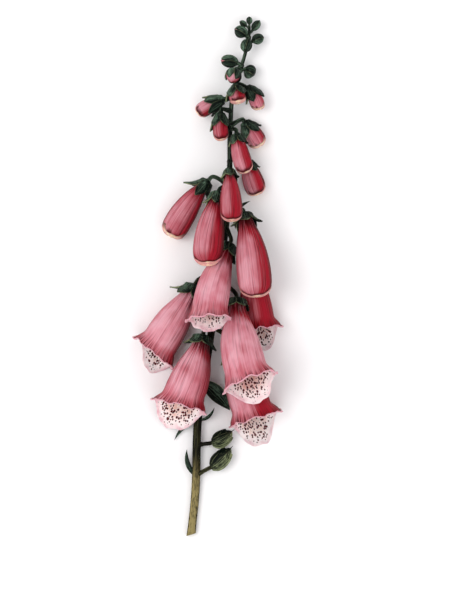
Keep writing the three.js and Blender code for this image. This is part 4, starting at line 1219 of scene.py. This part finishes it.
def add_pedicel(tissue, flower, offset, draws):
    """The short stalk that carries a flower, thicker where it leaves the stem."""
    spine = Spine(flower)
    start, _ = stalk_line(flower["root"])
    reach = flower["reach"]
    straight = spine.at(-reach * 0.3 - SEAT_GAP, 0, 0)
    curve = bend(start, spine.at(-reach, 0, 0), straight, shares(15))
    line = np.concatenate([curve, straight + (spine.at(SEAT_DEPTH, 0, 0) - straight) * shares(5)[1:]])
    radius = min(PEDICEL_RADIUS, flower["radius"] * 0.33)
    share = np.linspace(0, 1, len(line))
    swell = 1 + 0.45 * (1 - step(share, 0.0, 0.3)) + 0.1 * step(share, 0.85, 1)
    places = add_tube(tissue, line, radius * swell, 14, offset, tint=(1, 0, 0))
    outward = unit(places - line[:, None])
    add_down(tissue, places, outward, 1.0, PEDICEL_HAIRS, size_of("hair"), draws, 3)


def add_bract(tissue, bract, offset, draws):
    """A pointed leaf on the stem, folded along its midrib and waved at its margins."""
    start, middle, stop, face = (np.array(bract[k], float) for k in ("root", "middle", "tip", "face"))
    curve = start, handle_of(start, middle, stop), stop
    t = shares(30)
    along = heading(*curve, t)
    normal = unit(face - along * (along @ face)[:, None])
    sideways = np.cross(along, normal)
    outline = through(BRACT_OUTLINE, t)
    across = np.linspace(-1, 1, 15)[None, :]
    width = bract["width"]
    half = width / 2 * outline
    wave = 0.04 * width * np.sin(10 * t + draws.uniform(0, 6) + 2 * across)
    lift = width * outline * 0.12 * np.abs(across) + wave * np.abs(across) ** 2
    lift = lift - 0.04 * width * np.exp(-((across / 0.12) ** 2)) * outline
    places = bend(*curve, t)[:, None] + sideways[:, None] * (half * across)[..., None]
    places = places + normal[:, None] * lift[..., None]
    marks = (0.2 - 0.6 * across, 0.6, t), (half * across, 0, 30 * t + offset), (0, 0, np.abs(across))
    skins = []
    for sign in (0.5, -0.5):
        thin = size_of("bract") * sign * (1 - 0.5 * np.abs(across) ** 3) * (0.4 + 0.6 * outline)
        skin = places + normal[:, None] * thin[..., None]
        skin[..., 2] = np.maximum(skin[..., 2], 0)
        skins.append(tissue.rows(skin, *marks))
        tissue.cover(skins[-1], 2, closed=False)
    tissue.cover(np.stack([margin(skin) for skin in skins]), 2)


# Pieces of a flower: how each is built, the ends of its name and its node's, its slot, its finishes

CALYX = (add_calyx, "sepals", "_calyx", "calyx_green", "sepal", "down")
BELL = (add_bell, "bell", "_corolla", "open_rose", "bell outside", "bell inside", "lip hair")
STAMENS = (add_stamens, "anthers", "_stamens", "pollen_yellow", "filament", "pollen")
PISTIL = (add_pistil, "style", "_pistil", "style_green", "style")
SHUT_BELL = (add_shut_bell, "petals", "_corolla", "closed_rose", "shut outside", "shut lip")
BUD = (add_bud, "sepals", "", "bud_green", "bud green", "shut outside")
POD = (add_pod, "capsule", "", "pod_green", "pod green", "bud green", "stem")

# Kinds of flower: the seed of the draws, the first offset, the step to the next one's, the pieces

KINDS = {
    "open_bloom": (OPEN_BLOOMS, 100, 0, 70.0, CALYX, BELL, STAMENS, PISTIL),
    "closed_bloom": (CLOSED_BLOOMS, 200, 200, 60.0, CALYX, SHUT_BELL),
    "young_bud": (YOUNG_BUDS, 300, 300, 60.0, CALYX, SHUT_BELL),
    "tip_bud": (TIP_BUDS, 400, 400, 50.0, BUD),
    "seed_pod": (SEED_PODS, 500, 500, 50.0, POD),
}
STEM_SEED = 11


def grow_flowers(kind):
    """Builds the pieces of every flower of a kind."""
    flowers, seed, first, apart, *pieces = KINDS[kind]
    for k, flower in enumerate(flowers):
        spine = Spine(flower, first + apart * k, np.random.default_rng(seed + k))
        node = f"{kind}_{k + 1}"
        for build, ending, part, slot, *finishes in pieces:
            tissue = Tissue()
            build(tissue, spine)
            tissue.seat(f"{node}_{ending}", node + part, slot, *finishes)
    return {"FINISHED"}


# Operators


class FOXGLOVE_OT_stem(bpy.types.Operator):
    """Grow the stem with its flower stalks and bracts"""

    bl_idname = "foxglove.stem"
    bl_label = "Stem"

    def execute(self, context):
        """Builds one piece for the whole stem."""
        draws = np.random.default_rng(STEM_SEED)
        tissue = Tissue()
        add_stalk(tissue, draws)
        for k, flower in enumerate(flower for flowers, *_ in KINDS.values() for flower in flowers):
            add_pedicel(tissue, flower, 40 * k, draws)
        for k, bract in enumerate(BRACTS):
            add_bract(tissue, bract, 900 + 50 * k, draws)
        tissue.seat("stem_grown", "stem", "stem_green", "stem", "cut face", "sepal", "down")
        return {"FINISHED"}


class FOXGLOVE_OT_open_blooms(bpy.types.Operator):
    """Grow the open bells with their calyxes, stamens and pistils"""

    bl_idname = "foxglove.open_blooms"
    bl_label = "Open blooms"

    def execute(self, context):
        """Builds four pieces for each bloom."""
        return grow_flowers("open_bloom")


class FOXGLOVE_OT_closed_blooms(bpy.types.Operator):
    """Grow the full blooms whose mouth is still shut"""

    bl_idname = "foxglove.closed_blooms"
    bl_label = "Closed blooms"

    def execute(self, context):
        """Builds two pieces for each bloom."""
        return grow_flowers("closed_bloom")


class FOXGLOVE_OT_young_buds(bpy.types.Operator):
    """Grow the young buds that show their first pink"""

    bl_idname = "foxglove.young_buds"
    bl_label = "Young buds"

    def execute(self, context):
        """Builds two pieces for each bud."""
        return grow_flowers("young_bud")


class FOXGLOVE_OT_tip_buds(bpy.types.Operator):
    """Grow the green buds at the tip"""

    bl_idname = "foxglove.tip_buds"
    bl_label = "Tip buds"

    def execute(self, context):
        """Builds one piece for each bud."""
        return grow_flowers("tip_bud")


class FOXGLOVE_OT_seed_pods(bpy.types.Operator):
    """Grow the seed pods low on the stem"""

    bl_idname = "foxglove.seed_pods"
    bl_label = "Seed pods"

    def execute(self, context):
        """Builds one piece for each pod."""
        return grow_flowers("seed_pod")


# The picture is 469 by 600 and shows 0.46 mm a pixel, seen from straight above

PICTURE_CENTRE = (12.65, -11.04)
PICTURE_HEIGHT = 276.0
LENS = 300.0
SENSOR_WIDTH = 36.0
FOCUS_HEIGHT = 15.0
CLIP_END = 100.0

# The surface and the room, in metres, and how bright the room is

SURFACE_SIZE = 6.0
SURFACE_DROP = 0.0002
ROOM_STRENGTH = 0.84


def soft_light(name, towards, width, strength, tint):
    """A wide light from far away, so that the whole surface is lit alike."""
    lamp = bpy.data.lights.new(name, "SUN")
    lamp.angle = math.radians(width)
    lamp.energy = strength
    lamp.color = tint
    holder = bpy.data.objects.new(name, lamp)
    holder.rotation_euler = Vector(towards).to_track_quat("-Z", "Y").to_euler()
    bpy.context.scene.collection.objects.link(holder)


class FOXGLOVE_OT_stage(bpy.types.Operator):
    """Set the pale surface, the soft lights and the camera"""

    bl_idname = "foxglove.stage"
    bl_label = "Surface, lights and camera"

    def execute(self, context):
        """Makes everything that isn't part of the flower."""
        scene = context.scene
        bpy.ops.mesh.primitive_plane_add(size=SURFACE_SIZE, location=(0, 0, -SURFACE_DROP))
        floor = context.object
        floor.name = "surface"
        floor.data.materials.append(finish_of("surface"))
        soft_light("key", (0.5, -0.05, -1.0), 32, 1.08, (1.0, 0.985, 0.97))
        soft_light("fill", (-0.45, 0.6, -1.0), 60, 0.34, (0.97, 0.98, 1.0))
        world = bpy.data.worlds.new("room")
        world.use_nodes = True
        sky = world.node_tree.nodes["Background"]
        sky.inputs["Color"].default_value = (1.0, 1.0, 1.0, 1.0)
        sky.inputs["Strength"].default_value = ROOM_STRENGTH
        scene.world = world
        scene.view_settings.view_transform = "Standard"

        eye = bpy.data.cameras.new("camera")
        eye.lens = LENS
        eye.sensor_width = SENSOR_WIDTH
        eye.clip_end = CLIP_END
        holder = bpy.data.objects.new("camera", eye)
        away = PICTURE_HEIGHT / SENSOR_WIDTH * LENS + FOCUS_HEIGHT
        holder.location = (PICTURE_CENTRE[0] * MM, PICTURE_CENTRE[1] * MM, away * MM)
        scene.collection.objects.link(holder)
        scene.camera = holder
        return {"FINISHED"}


class FOXGLOVE_PT_spike(bpy.types.Panel):
    """Lists the steps, sizes and colours of the spike"""

    bl_idname = "FOXGLOVE_PT_spike"
    bl_label = "Foxglove spike"
    bl_space_type = "VIEW_3D"
    bl_region_type = "UI"
    bl_category = "Foxglove"

    def draw(self, context):
        """Lays out buttons and values."""
        for operator in OPERATORS:
            self.layout.operator(operator.bl_idname)
        for group in (context.scene.foxglove_shape, context.scene.foxglove_colours):
            box = self.layout.box()
            for name in group.__annotations__:
                box.prop(group, name)


OPERATORS = (
    FOXGLOVE_OT_stem, FOXGLOVE_OT_open_blooms, FOXGLOVE_OT_closed_blooms, FOXGLOVE_OT_young_buds,
    FOXGLOVE_OT_tip_buds, FOXGLOVE_OT_seed_pods, FOXGLOVE_OT_stage,
)
CLASSES = (FoxgloveShape, FoxgloveColours, *OPERATORS, FOXGLOVE_PT_spike)


def register():
    """Adds the classes and the scene's settings."""
    for item in CLASSES:
        bpy.utils.register_class(item)
    bpy.types.Scene.foxglove_shape = bpy.props.PointerProperty(type=FoxgloveShape)
    bpy.types.Scene.foxglove_colours = bpy.props.PointerProperty(type=FoxgloveColours)


def unregister():
    """Takes them away again."""
    del bpy.types.Scene.foxglove_colours
    del bpy.types.Scene.foxglove_shape
    for item in reversed(CLASSES):
        bpy.utils.unregister_class(item)


def main():
    """Grows the spike and sets the stage."""
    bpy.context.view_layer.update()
    register()
    bpy.ops.foxglove.stem()
    bpy.ops.foxglove.open_blooms()
    bpy.ops.foxglove.closed_blooms()
    bpy.ops.foxglove.young_buds()
    bpy.ops.foxglove.tip_buds()
    bpy.ops.foxglove.seed_pods()
    bpy.ops.foxglove.stage()
    bpy.context.view_layer.update()


if __name__ == "__main__":
    main()
